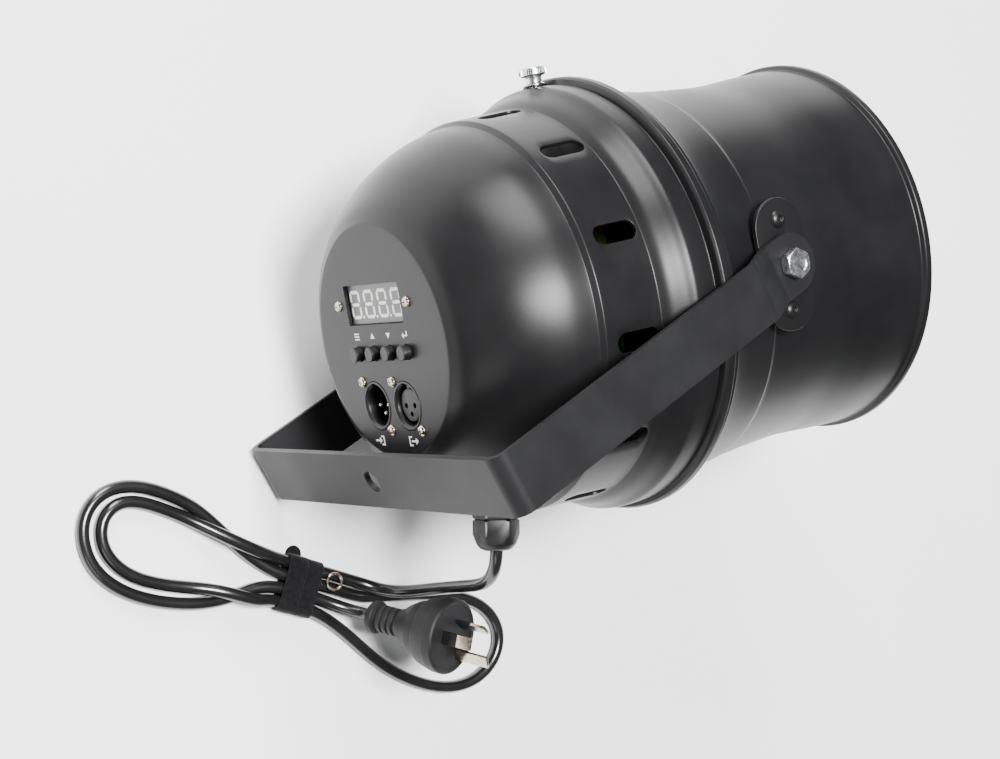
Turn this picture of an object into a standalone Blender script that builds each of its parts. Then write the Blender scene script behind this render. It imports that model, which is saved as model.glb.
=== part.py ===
"""A short stage par can: spun housing, rear control panel, yoke, mains lead.

Run with ``blender --background --python part.py`` or from the text editor.
The lamp lies on its side, on the flat of its far yoke arm, with its lead
coiled on the same floor.  Everything on the lamp is laid out in the lamp's own
frame, in millimetres: X to the right of someone reading the rear panel, Y from
the panel to the lens, Z to the top of the panel.  LAMP_TO_WORLD then lays the
lamp down.  The lead is laid out in the world frame, because it rests on the
floor.
"""

from __future__ import annotations

import math

import bmesh
import bpy
from mathutils import Matrix, Vector

MM = 0.001
PART_COLLECTION = "par_can_light"
CUTTER_COLLECTION = "cutters"

# --------------------------------------------------------------------------
# Driving dimensions, in millimetres and degrees, in the lamp's frame
# --------------------------------------------------------------------------
GAP = 0.3                      # clearance between touching pieces
TURN_STEPS = 48                # steps round the big spun shells
SMALL_STEPS = 20               # steps round small turned pieces

# Rear cap: flat panel, dome, vented band, sleeve, rolled lip
CAP_WALL = 1.8
PANEL_R = 56.5
DOME_END = (94.4, 57.0)        # radius, distance from the panel
BAND_R = 97.0
BAND_START, BAND_END = 59.5, 90.8
SLEEVE_R = 106.8
SLEEVE_START, SLEEVE_END = 107.2, 116.8
LIP_R = 110.0
LIP_START, LIP_END = 119.6, 125.8
SLOT_COUNT, SLOT_FIRST_DEG = 12, 20.0
SLOT_WIDTH, SLOT_LENGTH, SLOT_Y = 9.5, 23.5, 77.3

# Front can: neck inside the cap, flange, waist, flared and rolled mouth
NECK_R, NECK_START = 102.7, 108.0
FLANGE_R, FLANGE_END = 107.4, 129.4
CAN_LENGTH_END = 268.3
RIM_R = 98.8

# Rear panel fittings: X, Z on the panel
DISPLAY_POS, DISPLAY_SIZE = (-2.1, 18.2), (50.3, 19.4)
DISPLAY_RECESS, DISPLAY_DEPTH = 2.3, 8.0
DISPLAY_SCREWS = ((-34.0, 18.3), (29.0, 18.1))
BUTTON_X = {"menu": -22.2, "up": -7.8, "down": 6.8, "enter": 21.6}
BUTTON_Z, BUTTON_R, BUTTON_PROUD = -5.3, 3.5, 4.0
XLR_IN, XLR_OUT = (-14.7, -30.9), (12.7, -30.9)
XLR_HOLE_R, XLR_SHELL_R = 12.1, 11.75
XLR_SCREW_OFFSET = (-9.7, 11.7)   # upper screw from the socket's centre
SCREW_HEAD_R, SCREW_SHANK_R = 2.6, 1.2

# Pivot, side plates and yoke
PIVOT_Y, PIVOT_Z = 166.0, 2.4
PLATE_INNER_X, PLATE_T = 99.5, 2.5
PLATE_LENGTH, PLATE_WIDTH = 64.0, 30.0
RIVET_OFFSET, RIVET_SHANK_R, RIVET_HEAD_R = 21.8, 2.4, 4.6
WASHER_T, WASHER_R = 1.0, 9.5
BOLT_R, BOLT_AF, BOLT_HEAD_T = 3.9, 13.0, 5.3
YOKE_T, YOKE_WIDTH = 3.0, 29.5
YOKE_ARM_X = 114.7             # outer face of an arm
YOKE_REACH = 196.0             # pivot to the outer face of the crossbar
YOKE_BEND_R = 6.5              # bend at the crossbar, on the centre line
YOKE_JOGGLE = (11.0, 27.0)     # where each tab steps out to its arm
YOKE_TAB_TAIL = 14.75
YOKE_ANGLE_DEG = 19.6          # arms below the lamp's axis, at rest
YOKE_HOLE_R = 5.75
PIVOT_HOLE_R = 4.2

# Cable gland on the underside of the dome
GLAND_ROOT = (0.0, 46.5, -92.0)
GLAND_AXIS = (0.0, -0.19, -0.98)
GLAND_AF, GLAND_FLANGE_T, GLAND_TIP = 20.0, 5.0, 20.5
GLAND_THREAD_R, GLAND_BORE_R = 7.9, 3.75
GLAND_SEAT = 0.8               # the flange's underside, clear of the dome's curve

# Thumbscrew on top of the sleeve
THUMB_Y, THUMB_HEAD_R, THUMB_TIP = 113.0, 6.8, 9.8

# Mains lead, in the world frame, from the gland along the floor to the plug
CORD_R = 3.3
FLOOR_Z = CORD_R + 0.1         # centre line of a strand on the floor
OVER_Z = 10.6                  # centre line of a strand that crosses another
TIE_Z = 5.2                    # centre line of the strands in the tie
TIE_CENTRE, TIE_ALONG = (124.0, -12.0), (0.484, 0.875)
TIE_LANE = 7.0
PLUG_START, PLUG_AXIS = (147.5, 19.5, 21.0), (0.22, 0.329, 0.918)
PLUG_LENGTH, PLUG_R = 52.0, 19.8

# --------------------------------------------------------------------------
# Placing the lamp on the floor
# --------------------------------------------------------------------------
_angle = math.radians(YOKE_ANGLE_DEG)
_crossbar_low_y = PIVOT_Y - YOKE_REACH * math.cos(_angle) - YOKE_WIDTH / 2 * math.sin(_angle)
_gland_low_z = -113.343        # lowest corner of the gland nut
_thumb_top_z = SLEEVE_R + THUMB_TIP
CENTRE_X = (_thumb_top_z + _gland_low_z) / 2
CENTRE_Y = -(CAN_LENGTH_END + _crossbar_low_y) / 2
LAMP_TO_WORLD = (
    Matrix.Translation(Vector((CENTRE_X, CENTRE_Y, YOKE_ARM_X)) * MM)
    @ Matrix.Rotation(math.radians(-90.0), 4, "Y")
)


# --------------------------------------------------------------------------
# Scene, collections and materials
# --------------------------------------------------------------------------
def reset_scene():
    """Remove every object, then make the part and cutter collections."""
    for obj in list(bpy.data.objects):
        bpy.data.objects.remove(obj, do_unlink=True)
    for name in (PART_COLLECTION, CUTTER_COLLECTION):
        old = bpy.data.collections.get(name)
        if old is not None:
            bpy.data.collections.remove(old)
        bpy.context.scene.collection.children.link(bpy.data.collections.new(name))


MATERIALS = {
    "black_coat": ((0.020, 0.020, 0.022), 0.0, 0.42),
    "black_plastic": ((0.015, 0.015, 0.016), 0.0, 0.50),
    "cord_pvc": ((0.012, 0.012, 0.012), 0.0, 0.30),
    "zinc": ((0.62, 0.62, 0.60), 1.0, 0.32),
    "nickel": ((0.55, 0.52, 0.46), 1.0, 0.28),
    "aluminium": ((0.70, 0.71, 0.72), 1.0, 0.38),
    "display_grey": ((0.22, 0.22, 0.22), 0.0, 0.45),
    "lens_clear": ((0.80, 0.82, 0.84), 0.0, 0.08),
    "board_green": ((0.03, 0.14, 0.06), 0.0, 0.45),
    "winding": ((0.45, 0.30, 0.08), 0.0, 0.50),
    "strap": ((0.018, 0.018, 0.018), 0.0, 0.90),
}


def material(name):
    """Return the named Principled material, made once from MATERIALS."""
    mat = bpy.data.materials.get(name)
    if mat is None:
        color, metallic, roughness = MATERIALS[name]
        mat = bpy.data.materials.new(name)
        mat.use_nodes = True
        shader = mat.node_tree.nodes["Principled BSDF"]
        shader.inputs["Base Color"].default_value = (*color, 1.0)
        shader.inputs["Metallic"].default_value = metallic
        shader.inputs["Roughness"].default_value = roughness
        mat.diffuse_color = (*color, 1.0)
    return mat


# --------------------------------------------------------------------------
# Frames and shape helpers
# --------------------------------------------------------------------------
def frame(origin, z_axis, x_hint=(1, 0, 0)):
    """Return a matrix in millimetres: origin, local Z along z_axis, local X near x_hint."""
    z = Vector(z_axis).normalized()
    x = Vector(x_hint)
    x = (x - z * x.dot(z)).normalized()
    y = z.cross(x)
    matrix = Matrix((x, y, z)).transposed().to_4x4()
    matrix.translation = Vector(origin) * MM
    return matrix


def add_object(name, data, place, mat=None, world=False, cutter=False, smooth=True):
    """Link a new object at ``place`` in the lamp's frame, or in the world's."""
    obj = bpy.data.objects.new(name, data)
    obj.matrix_world = place if world else LAMP_TO_WORLD @ place
    bpy.data.collections[CUTTER_COLLECTION if cutter else PART_COLLECTION].objects.link(obj)
    if cutter:
        obj.hide_render = True
        obj.display_type = "WIRE"
    if mat is not None:
        data.materials.append(material(mat))
    if smooth and isinstance(data, bpy.types.Mesh):
        data.shade_smooth()
    return obj


def mesh_from(name, verts, edges=(), faces=()):
    """Return a mesh of the given points, in millimetres."""
    mesh = bpy.data.meshes.new(name)
    mesh.from_pydata([Vector(v) * MM for v in verts], list(edges), list(faces))
    return mesh


def turned(name, outline, place, mat, steps=SMALL_STEPS, **kwargs):
    """Turn a closed (radius, height) outline about local Z with a Screw modifier.

    Points on the axis close the shape there; otherwise the result is a ring.
    """
    area = sum(
        r0 * z1 - r1 * z0 for (r0, z0), (r1, z1) in zip(outline, outline[1:] + outline[:1])
    )
    if area > 0:
        outline = list(reversed(outline))
    count = len(outline)
    on_axis = [i for i, (r, _) in enumerate(outline) if r == 0]
    skip = set()
    for i in on_axis:
        if (i + 1) % count in on_axis:
            skip.add(i)
    edges = [(i, (i + 1) % count) for i in range(count) if i not in skip]
    mesh = mesh_from(name, [(r, 0, z) for r, z in outline], edges)
    obj = add_object(name, mesh, place, mat, **kwargs)
    screw = obj.modifiers.new("turn", "SCREW")
    screw.axis = "Z"
    screw.angle = math.tau
    screw.steps = screw.render_steps = steps
    screw.use_merge_vertices = True
    screw.merge_threshold = 1e-5
    screw.use_smooth_shade = kwargs.get("smooth", True)
    return obj


def rod(name, radius, low, high, place, mat, steps=SMALL_STEPS, **kwargs):
    """A plain cylinder along local Z from ``low`` to ``high``."""
    outline = [(0, high), (radius, high), (radius, low), (0, low)]
    return turned(name, outline, place, mat, steps, **kwargs)


def sheet(name, loops, thickness, place, mat, **kwargs):
    """A flat piece: outer loop and holes in local XY, centred on local Z."""
    curve = bpy.data.curves.new(name, "CURVE")
    curve.dimensions = "2D"
    curve.fill_mode = "BOTH"
    curve.extrude = thickness / 2 * MM
    for loop in loops:
        spline = curve.splines.new("POLY")
        spline.points.add(len(loop) - 1)
        for point, (x, y) in zip(spline.points, loop):
            point.co = (x * MM, y * MM, 0.0, 1.0)
        spline.use_cyclic_u = True
    mesh = curve_to_mesh(name, curve)
    return add_object(name, mesh, place, mat, smooth=False, **kwargs)


def curve_to_mesh(name, curve):
    """Convert a curve to a welded mesh."""
    holder = bpy.data.objects.new(name, curve)
    bpy.context.scene.collection.objects.link(holder)
    bpy.context.view_layer.update()
    graph = bpy.context.evaluated_depsgraph_get()
    mesh = bpy.data.meshes.new_from_object(holder.evaluated_get(graph))
    bpy.data.objects.remove(holder, do_unlink=True)
    bm = bmesh.new()
    bm.from_mesh(mesh)
    bmesh.ops.remove_doubles(bm, verts=bm.verts, dist=1e-6)
    bmesh.ops.recalc_face_normals(bm, faces=bm.faces)
    bm.to_mesh(mesh)
    bm.free()
    mesh.name = name
    return mesh


def tube(name, points, radius, mat, resolution=2):
    """A round tube through world points, with flat ends."""
    curve = bpy.data.curves.new(name, "CURVE")
    curve.dimensions = "3D"
    curve.bevel_depth = radius * MM
    curve.bevel_resolution = resolution
    curve.use_fill_caps = True
    spline = curve.splines.new("POLY")
    spline.points.add(len(points) - 1)
    for point, co in zip(spline.points, points):
        point.co = (*(Vector(co) * MM), 1.0)
    return add_object(name, curve_to_mesh(name, curve), world_place(), mat, world=True)


def box(name, size, place, mat, cutter=False, world=False):
    """A block of the given size centred on ``place``."""
    sx, sy, sz = (s / 2 for s in size)
    loop = [(-sx, -sy), (sx, -sy), (sx, sy), (-sx, sy)]
    return sheet(name, [loop], 2 * sz, place, mat, cutter=cutter, world=world)


def circle(radius, count=32, centre=(0, 0), start=0.0, sweep=360.0):
    """Points on a circle, or on an arc when ``sweep`` is under 360."""
    full = sweep >= 360.0
    steps = count if full else count - 1
    angles = [math.radians(start + sweep * i / steps) for i in range(count)]
    return [(centre[0] + radius * math.cos(a), centre[1] + radius * math.sin(a)) for a in angles]


def obround(length, width, count=6):
    """A slot outline along local X."""
    offset = (length - width) / 2
    return circle(width / 2, count, (offset, 0), -90, 180) + circle(
        width / 2, count, (-offset, 0), 90, 180
    )


def hexagon(across_flats):
    """A hexagon by its across-flats size."""
    return circle(across_flats / math.sqrt(3), 6)


def boolean(obj, cutter, operation="DIFFERENCE"):
    """Add an exact Boolean of one cutter."""
    mod = obj.modifiers.new(cutter.name, "BOOLEAN")
    mod.solver = "EXACT"
    mod.operation = operation
    mod.object = cutter


def combine(obj, cutters, operation="DIFFERENCE"):
    """Cut or join a group of cutters with one exact Boolean."""
    group = bpy.data.collections.new(f"cutters_{obj.name}")
    bpy.data.collections[CUTTER_COLLECTION].children.link(group)
    for cutter in cutters:
        group.objects.link(cutter)
        bpy.data.collections[CUTTER_COLLECTION].objects.unlink(cutter)
    mod = obj.modifiers.new("cutters", "BOOLEAN")
    mod.solver = "EXACT"
    mod.operation = operation
    mod.operand_type = "COLLECTION"
    mod.collection = group


def world_place(origin=(0, 0, 0), z_axis=(0, 0, 1), x_hint=(1, 0, 0)):
    """A frame in the world, whose X and Y are counted from the lamp's own axis."""
    shift = Matrix.Translation(Vector((CENTRE_X, CENTRE_Y, 0)) * MM)
    return shift @ frame(origin, z_axis, x_hint)


def on_axis(y=0.0):
    """A frame on the lamp's axis, local Z forward."""
    return frame((0, y, 0), (0, 1, 0))


def on_panel(x, z, y=0.0):
    """A frame at a place on the rear panel, local Z forward, local X to the right."""
    return frame((x, y, z), (0, 1, 0))


def pivot_frame(side):
    """A frame on the pivot axis, local Z out of the lamp's side +1 or -1."""
    return frame((0, PIVOT_Y, PIVOT_Z), (side, 0, 0), (0, 1, 0))


def gland_frame():
    """A frame on the dome where the lead comes in, local Z outward."""
    return frame(GLAND_ROOT, GLAND_AXIS)


def thumb_frame():
    """A frame on top of the cap's sleeve, local Z outward."""
    return frame((0, THUMB_Y, SLEEVE_R), (0, 0, 1))


# --------------------------------------------------------------------------
# Housing
# --------------------------------------------------------------------------
def build_rear_cap():
    """Rear cap: one spun shell with its panel cut-outs, vents and gland hole."""
    t = CAP_WALL
    dome = [(64.0, 4.0), (72.5, 12.0), (80.7, 22.0), (87.2, 33.5), (91.8, 45.0)]
    dome_inside = [(62.5, 5.3), (71.2, 13.2), (79.2, 23.1), (85.5, 34.4), (90.0, 45.6)]
    outside = [(0, 0), (PANEL_R, 0), *dome, DOME_END,
               (BAND_R - 0.5, BAND_START), (BAND_R + 1.0, BAND_END),
               (101.2, 95.0), (104.3, 102.0), (SLEEVE_R, SLEEVE_START),
               (SLEEVE_R, SLEEVE_END), (105.2, 117.4), (105.2, 118.9), (108.9, LIP_START),
               (LIP_R, 121.0), (LIP_R, 124.6), (108.9, LIP_END)]
    inside = [(103.2, LIP_END), (103.2, 106.4), (99.6, 97.2), (96.2, 91.8),
              (BAND_R - t - 0.5, 60.6), (92.6, 57.9),
              *reversed(dome_inside), (PANEL_R - 1.0, t), (0, t)]
    cap = turned("rear_cap", outside + inside, on_axis(), "black_coat", TURN_STEPS)

    cutters = [box("cut_display", (*DISPLAY_SIZE, 10), on_panel(*DISPLAY_POS), None, cutter=True)]
    for name, x in BUTTON_X.items():
        cutters.append(rod(f"cut_button_{name}", BUTTON_R + 0.4, -5, 5,
                           on_panel(x, BUTTON_Z), None, cutter=True))
    for name, pos in (("in", XLR_IN), ("out", XLR_OUT)):
        cutters.append(rod(f"cut_xlr_{name}", XLR_HOLE_R, -5, 5, on_panel(*pos), None, 32,
                           cutter=True))
    for i, pos in enumerate(panel_screw_places(), 1):
        cutters.append(rod(f"cut_screw_{i}", SCREW_SHANK_R + 0.3, -5, 5, on_panel(*pos), None, 12,
                           cutter=True))
    for i in range(SLOT_COUNT):
        angle = math.radians(SLOT_FIRST_DEG + 360.0 / SLOT_COUNT * i)
        out = (math.cos(angle), 0, math.sin(angle))
        place = frame((out[0] * BAND_R, SLOT_Y, out[2] * BAND_R), out, (0, 1, 0))
        cutters.append(sheet(f"cut_slot_{i + 1}", [obround(SLOT_LENGTH, SLOT_WIDTH)], 16, place,
                             None, cutter=True))
    cutters.append(rod("cut_gland", GLAND_THREAD_R + 0.35, -14, 8, gland_frame(), None,
                       cutter=True))
    cutters.append(rod("cut_thumb_cap", 2.4, -6, 4, thumb_frame(), None, 16, cutter=True))
    combine(cap, cutters)


def build_front_can():
    """Front can: neck, flange, waist and rolled mouth, open at both ends."""
    outside = [(NECK_R, NECK_START), (NECK_R, LIP_END + GAP), (FLANGE_R, LIP_END + GAP),
               (FLANGE_R, FLANGE_END), (102.6, 132.0), (100.4, 140.0), (97.0, 162.0),
               (95.2, 188.0), (94.1, 212.0), (95.6, 240.0), (96.5, 261.6), (RIM_R, 263.6),
               (RIM_R, 266.8), (96.6, CAN_LENGTH_END)]
    inside = [(95.0, CAN_LENGTH_END), (94.0, 240.0), (92.5, 212.0), (93.6, 188.0),
              (95.4, 162.0), (98.8, 140.0), (101.1, 130.4), (101.1, NECK_START)]
    can = turned("front_can", outside + inside, on_axis(), "black_coat", TURN_STEPS)
    cutters = [rod("cut_thumb_can", 2.3, -12, 4, thumb_frame(), None, 16, cutter=True)]
    for side, label in ((1, "near"), (-1, "far")):
        cutters.append(rod(f"cut_pivot_{label}", BOLT_R + 0.3, 80, 120, pivot_frame(side), None,
                           cutter=True))
        for i, offset in enumerate((RIVET_OFFSET, -RIVET_OFFSET), 1):
            cutters.append(rod(f"cut_rivet_{label}_{i}", RIVET_SHANK_R + 0.2, 80, 120,
                               rivet_frame(side, offset), None, 16, cutter=True))
    combine(can, cutters)


def build_thumbscrew():
    """Thumbscrew through the sleeve, and the washer under it."""
    turned("thumb_washer", [(2.4, GAP), (6.0, GAP), (6.0, 1.0), (2.4, 1.0)], thumb_frame(),
           "black_coat")
    r = THUMB_HEAD_R
    turned("thumbscrew",
           [(0, THUMB_TIP), (r - 0.7, THUMB_TIP), (r, 9.1), (r, 6.2), (r - 0.7, 5.5), (4.0, 5.4),
            (4.0, 1.3), (1.9, 1.3), (1.9, -5.3), (0, -5.3)], thumb_frame(), "zinc")


# --------------------------------------------------------------------------
# Rear panel
# --------------------------------------------------------------------------
def panel_screw_places():
    """Panel screws: two for the display board, two for each socket."""
    dx, dz = XLR_SCREW_OFFSET
    places = list(DISPLAY_SCREWS)
    for x, z in (XLR_IN, XLR_OUT):
        places += [(x + dx, z + dz), (x - dx, z - dz)]
    return places


def build_panel_screws():
    """Pan-head screws with their shanks through the panel."""
    for i, (x, z) in enumerate(panel_screw_places(), 1):
        shank_end = 10.8 if i <= len(DISPLAY_SCREWS) else 6.0
        turned(f"panel_screw_{i}",
               [(0, -2.0), (1.8, -1.6), (SCREW_HEAD_R, -0.7), (SCREW_HEAD_R, -GAP),
                (SCREW_SHANK_R, -GAP), (SCREW_SHANK_R, shank_end), (0, shank_end)],
               on_panel(x, z), "nickel", 12)


def build_display():
    """Four-digit display module and the control board behind it."""
    x, z = DISPLAY_POS
    width, height = DISPLAY_SIZE
    box("display_module", (width - 2 * GAP, height - 2 * GAP, DISPLAY_DEPTH),
        on_panel(x, z, DISPLAY_RECESS + DISPLAY_DEPTH / 2), "display_grey")
    board_y = DISPLAY_RECESS + DISPLAY_DEPTH + 1.5
    box("control_board", (86.0, 42.0, 1.6), on_panel(-1.0, 9.0, board_y), "board_green")


def build_buttons():
    """Four push buttons, each with a collar behind the panel."""
    for name, x in BUTTON_X.items():
        turned(f"button_{name}",
               [(0, -BUTTON_PROUD), (BUTTON_R - 0.4, -BUTTON_PROUD), (BUTTON_R, -BUTTON_PROUD + 0.5),
                (BUTTON_R, CAP_WALL + 1.3), (BUTTON_R + 1.1, CAP_WALL + 1.3),
                (BUTTON_R + 1.1, CAP_WALL + 2.3), (1.6, CAP_WALL + 2.3), (1.6, 9.6), (0, 9.6)],
               on_panel(x, BUTTON_Z), "black_plastic", 16)


def build_xlr_sockets():
    """Three-pin data sockets: a cup and pins for one, a cup and a core for the other."""
    cup = [(0, 22.0), (XLR_SHELL_R, 22.0), (XLR_SHELL_R, -0.3), (10.2, -0.3), (9.8, 0.2),
           (9.8, 20.0), (0, 20.0)]
    pin_places = ((-3.8, -0.2), (3.8, -0.2), (0.0, -4.3))
    turned("xlr_in_shell", cup, on_panel(*XLR_IN), "black_plastic", 24)
    turned("xlr_in_insert", [(0, 15.0), (9.4, 15.0), (9.4, 19.7), (0, 19.7)], on_panel(*XLR_IN),
           "black_plastic")
    for i, (dx, dz) in enumerate(pin_places, 1):
        turned(f"xlr_in_pin_{i}", [(0, 3.5), (0.8, 3.5), (1.2, 4.1), (1.2, 14.7), (0, 14.7)],
               on_panel(XLR_IN[0] + dx, XLR_IN[1] + dz), "nickel", 12)
    turned("xlr_out_shell", cup, on_panel(*XLR_OUT), "black_plastic", 24)
    core = turned("xlr_out_insert", [(0, 1.8), (7.7, 1.8), (8.0, 2.2), (8.0, 19.7), (0, 19.7)],
                  on_panel(*XLR_OUT), "black_plastic")
    combine(core, [rod(f"cut_core_{i}", 1.35, 0, 14, on_panel(XLR_OUT[0] + dx, XLR_OUT[1] + dz),
                       None, 12, cutter=True)
                   for i, (dx, dz) in enumerate(pin_places, 1)])


# --------------------------------------------------------------------------
# Inside: light source, chassis and supply
# --------------------------------------------------------------------------
def build_light_source():
    """Lens plate with its domes, retaining ring, lamp board and heat sink."""
    plate = rod("lens_plate", 91.6, 222.0, 224.0, on_axis(), "lens_clear", 36)
    dome = [(0, 4.5), (7.4, 3.3), (11.5, 0.4), (11.5, -1.0), (0, -1.0)]
    lenses = []
    for ring, count, first in ((31.0, 6, 0.0), (65.0, 12, 15.0)):
        for i in range(count):
            angle = math.radians(first + 360.0 / count * i)
            place = on_panel(ring * math.cos(angle), ring * math.sin(angle), 224.0)
            lenses.append(turned(f"add_lens_{count}_{i + 1}", dome, place, None, 9, cutter=True))
    combine(plate, lenses, "UNION")
    turned("retaining_ring",
           [(85.0, 224.3), (92.0, 224.3), (92.0, 230.0), (90.8, 230.0), (90.8, 225.6),
            (85.0, 225.6)], on_axis(), "black_coat", 36)
    rod("led_board", 91.0, 217.6, 219.2, on_axis(), "aluminium", 36)
    fins, pitch, width = 11, 11.0, 2.4
    comb = [(-62.0, 217.2), (-62.0, 212.5)]
    for i in range(fins):
        left = (i - (fins - 1) / 2) * pitch - width / 2
        comb += [(left, 212.5), (left, 188.0), (left + width, 188.0), (left + width, 212.5)]
    comb += [(62.0, 212.5), (62.0, 217.2)]
    sheet("heat_sink", [comb], 96.0, frame((0, 0, 0), (0, 0, 1), (1, 0, 0)), "aluminium")


def build_supply():
    """Chassis plate in the neck, and the supply board on its four pillars."""
    windows = [[(30, -46), (66, -46), (66, 46), (30, 46)], [(-66, -46), (-30, -46), (-30, 46),
                                                          (-66, 46)]]
    sheet("chassis_plate", [circle(100.7, 48), *windows], 1.5, on_axis(110.8), "aluminium")
    box("supply_board", (104.0, 78.0, 1.6), on_axis(101.0), "board_green")
    for i, (x, z) in enumerate(((-48, -35), (48, -35), (48, 35), (-48, 35)), 1):
        sheet(f"pillar_{i}", [hexagon(5.5)], 7.6, on_panel(x, z, 105.95), "nickel")
    box("transformer", (44.0, 36.0, 32.0), on_panel(18.0, 8.0, 83.8), "winding")
    turned("capacitor", [(0, 74.0), (8.4, 74.0), (9.0, 74.8), (9.0, 99.9), (0, 99.9)],
           on_panel(-30.0, 14.0), "black_plastic")


# --------------------------------------------------------------------------
# Gland
# --------------------------------------------------------------------------
def build_gland():
    """Gland body through the dome, lock nut inside, domed nut outside."""
    body = turned("gland_body",
                  [(4.4, -13.0), (GLAND_THREAD_R, -13.0), (GLAND_THREAD_R, GLAND_SEAT),
                   (11.6, GLAND_SEAT),
                   (11.6, GLAND_FLANGE_T), (4.4, GLAND_FLANGE_T)], gland_frame(), "black_plastic")
    trim = sheet("trim_gland_body", [hexagon(GLAND_AF)], 60, gland_frame(), None, cutter=True)
    boolean(body, trim, "INTERSECT")
    nut = turned("gland_nut",
                 [(GLAND_BORE_R, GLAND_FLANGE_T + GAP), (11.4, GLAND_FLANGE_T + GAP), (11.4, 13.8),
                  (10.6, 15.2), (9.6, 18.0), (8.0, 19.9), (6.4, GLAND_TIP),
                  (GLAND_BORE_R, GLAND_TIP)], gland_frame(), "black_plastic")
    trim = sheet("trim_gland_nut", [hexagon(GLAND_AF)], 60, gland_frame(), None, cutter=True)
    boolean(nut, trim, "INTERSECT")
    sheet("gland_locknut", [hexagon(20.0), circle(GLAND_THREAD_R + 0.25, 24)], 4.5,
          gland_frame() @ Matrix.Translation(Vector((0, 0, -6.2)) * MM), "black_plastic")


# --------------------------------------------------------------------------
# Pivot and yoke
# --------------------------------------------------------------------------
def rivet_frame(side, offset):
    """A frame on a rivet's axis, local Z out of the lamp's side."""
    return frame((0, PIVOT_Y, PIVOT_Z + offset), (side, 0, 0), (0, 1, 0))


def build_pivots():
    """Side plates, rivets, washers, bolts and nuts, on both sides."""
    plate_out = PLATE_INNER_X + PLATE_T
    washer_in = plate_out + GAP
    bolt_seat = washer_in + WASHER_T + GAP + YOKE_T + GAP
    for side, label in ((1, "near"), (-1, "far")):
        place = frame((side * (PLATE_INNER_X + PLATE_T / 2), PIVOT_Y, PIVOT_Z), (side, 0, 0),
                      (0, 0, 1))
        holes = [circle(BOLT_R + 0.3, 24)] + [
            circle(RIVET_SHANK_R + 0.2, 16, (side_offset, 0))
            for side_offset in (RIVET_OFFSET, -RIVET_OFFSET)]
        sheet(f"side_plate_{label}", [obround(PLATE_LENGTH, PLATE_WIDTH, 11), *holes], PLATE_T,
              place, "black_coat")
        for i, offset in enumerate((RIVET_OFFSET, -RIVET_OFFSET), 1):
            base = plate_out + GAP
            turned(f"rivet_{label}_{i}",
                   [(0, base + 2.2), (2.0, base + 1.95), (3.6, base + 1.2), (RIVET_HEAD_R, base),
                    (RIVET_SHANK_R, base), (RIVET_SHANK_R, 89.0), (0, 89.0)],
                   rivet_frame(side, offset), "black_coat", 16)
        turned(f"pivot_washer_{label}",
               [(BOLT_R + 0.35, washer_in), (WASHER_R, washer_in), (WASHER_R, washer_in + WASHER_T),
                (BOLT_R + 0.35, washer_in + WASHER_T)], pivot_frame(side), "black_plastic")
        bolt = turned(f"pivot_bolt_{label}",
                      [(0, bolt_seat + BOLT_HEAD_T), (6.6, bolt_seat + BOLT_HEAD_T),
                       (7.6, bolt_seat + BOLT_HEAD_T - 0.6), (7.6, bolt_seat), (BOLT_R, bolt_seat),
                       (BOLT_R, 84.0), (0, 84.0)], pivot_frame(side), "zinc")
        trim = sheet(f"trim_bolt_{label}", [hexagon(BOLT_AF)], 260, pivot_frame(side), None,
                     cutter=True)
        boolean(bolt, trim, "INTERSECT")
        sheet(f"pivot_nut_{label}", [hexagon(BOLT_AF), circle(BOLT_R + 0.25, 24)], 6.2,
              frame((side * 90.2, PIVOT_Y, PIVOT_Z), (side, 0, 0), (0, 1, 0)), "zinc")


def round_corners(points, radius, steps=5):
    """Replace the marked corners (x, y, True) of a path by arcs."""
    path = []
    for i, (x, y, rounded) in enumerate(points):
        corner = Vector((x, y))
        if not rounded:
            path.append(corner)
            continue
        before = (Vector(points[i - 1][:2]) - corner).normalized()
        after = (Vector(points[i + 1][:2]) - corner).normalized()
        half = before.angle(after) / 2
        centre = corner + (before + after).normalized() * (radius / math.sin(half))
        start = corner + before * (radius / math.tan(half)) - centre
        turn = start.angle_signed(corner + after * (radius / math.tan(half)) - centre)
        for k in range(steps + 1):
            offset = start.copy()
            offset.rotate(Matrix.Rotation(-turn * k / steps, 2))
            path.append(centre + offset)
    return path


def thicken(path, thickness):
    """Return the closed outline of a strip of the given thickness about a path."""
    left, right = [], []
    for i, point in enumerate(path):
        back = (point - path[i - 1]).normalized() if i else (path[1] - point).normalized()
        ahead = (path[i + 1] - point).normalized() if i + 1 < len(path) else back
        middle = (back + ahead).normalized()
        normal = Vector((-middle.y, middle.x)) * (thickness / 2 / max(middle.dot(back), 0.5))
        left.append(point + normal)
        right.append(point - normal)
    return [tuple(p) for p in left + right[::-1]]


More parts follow.
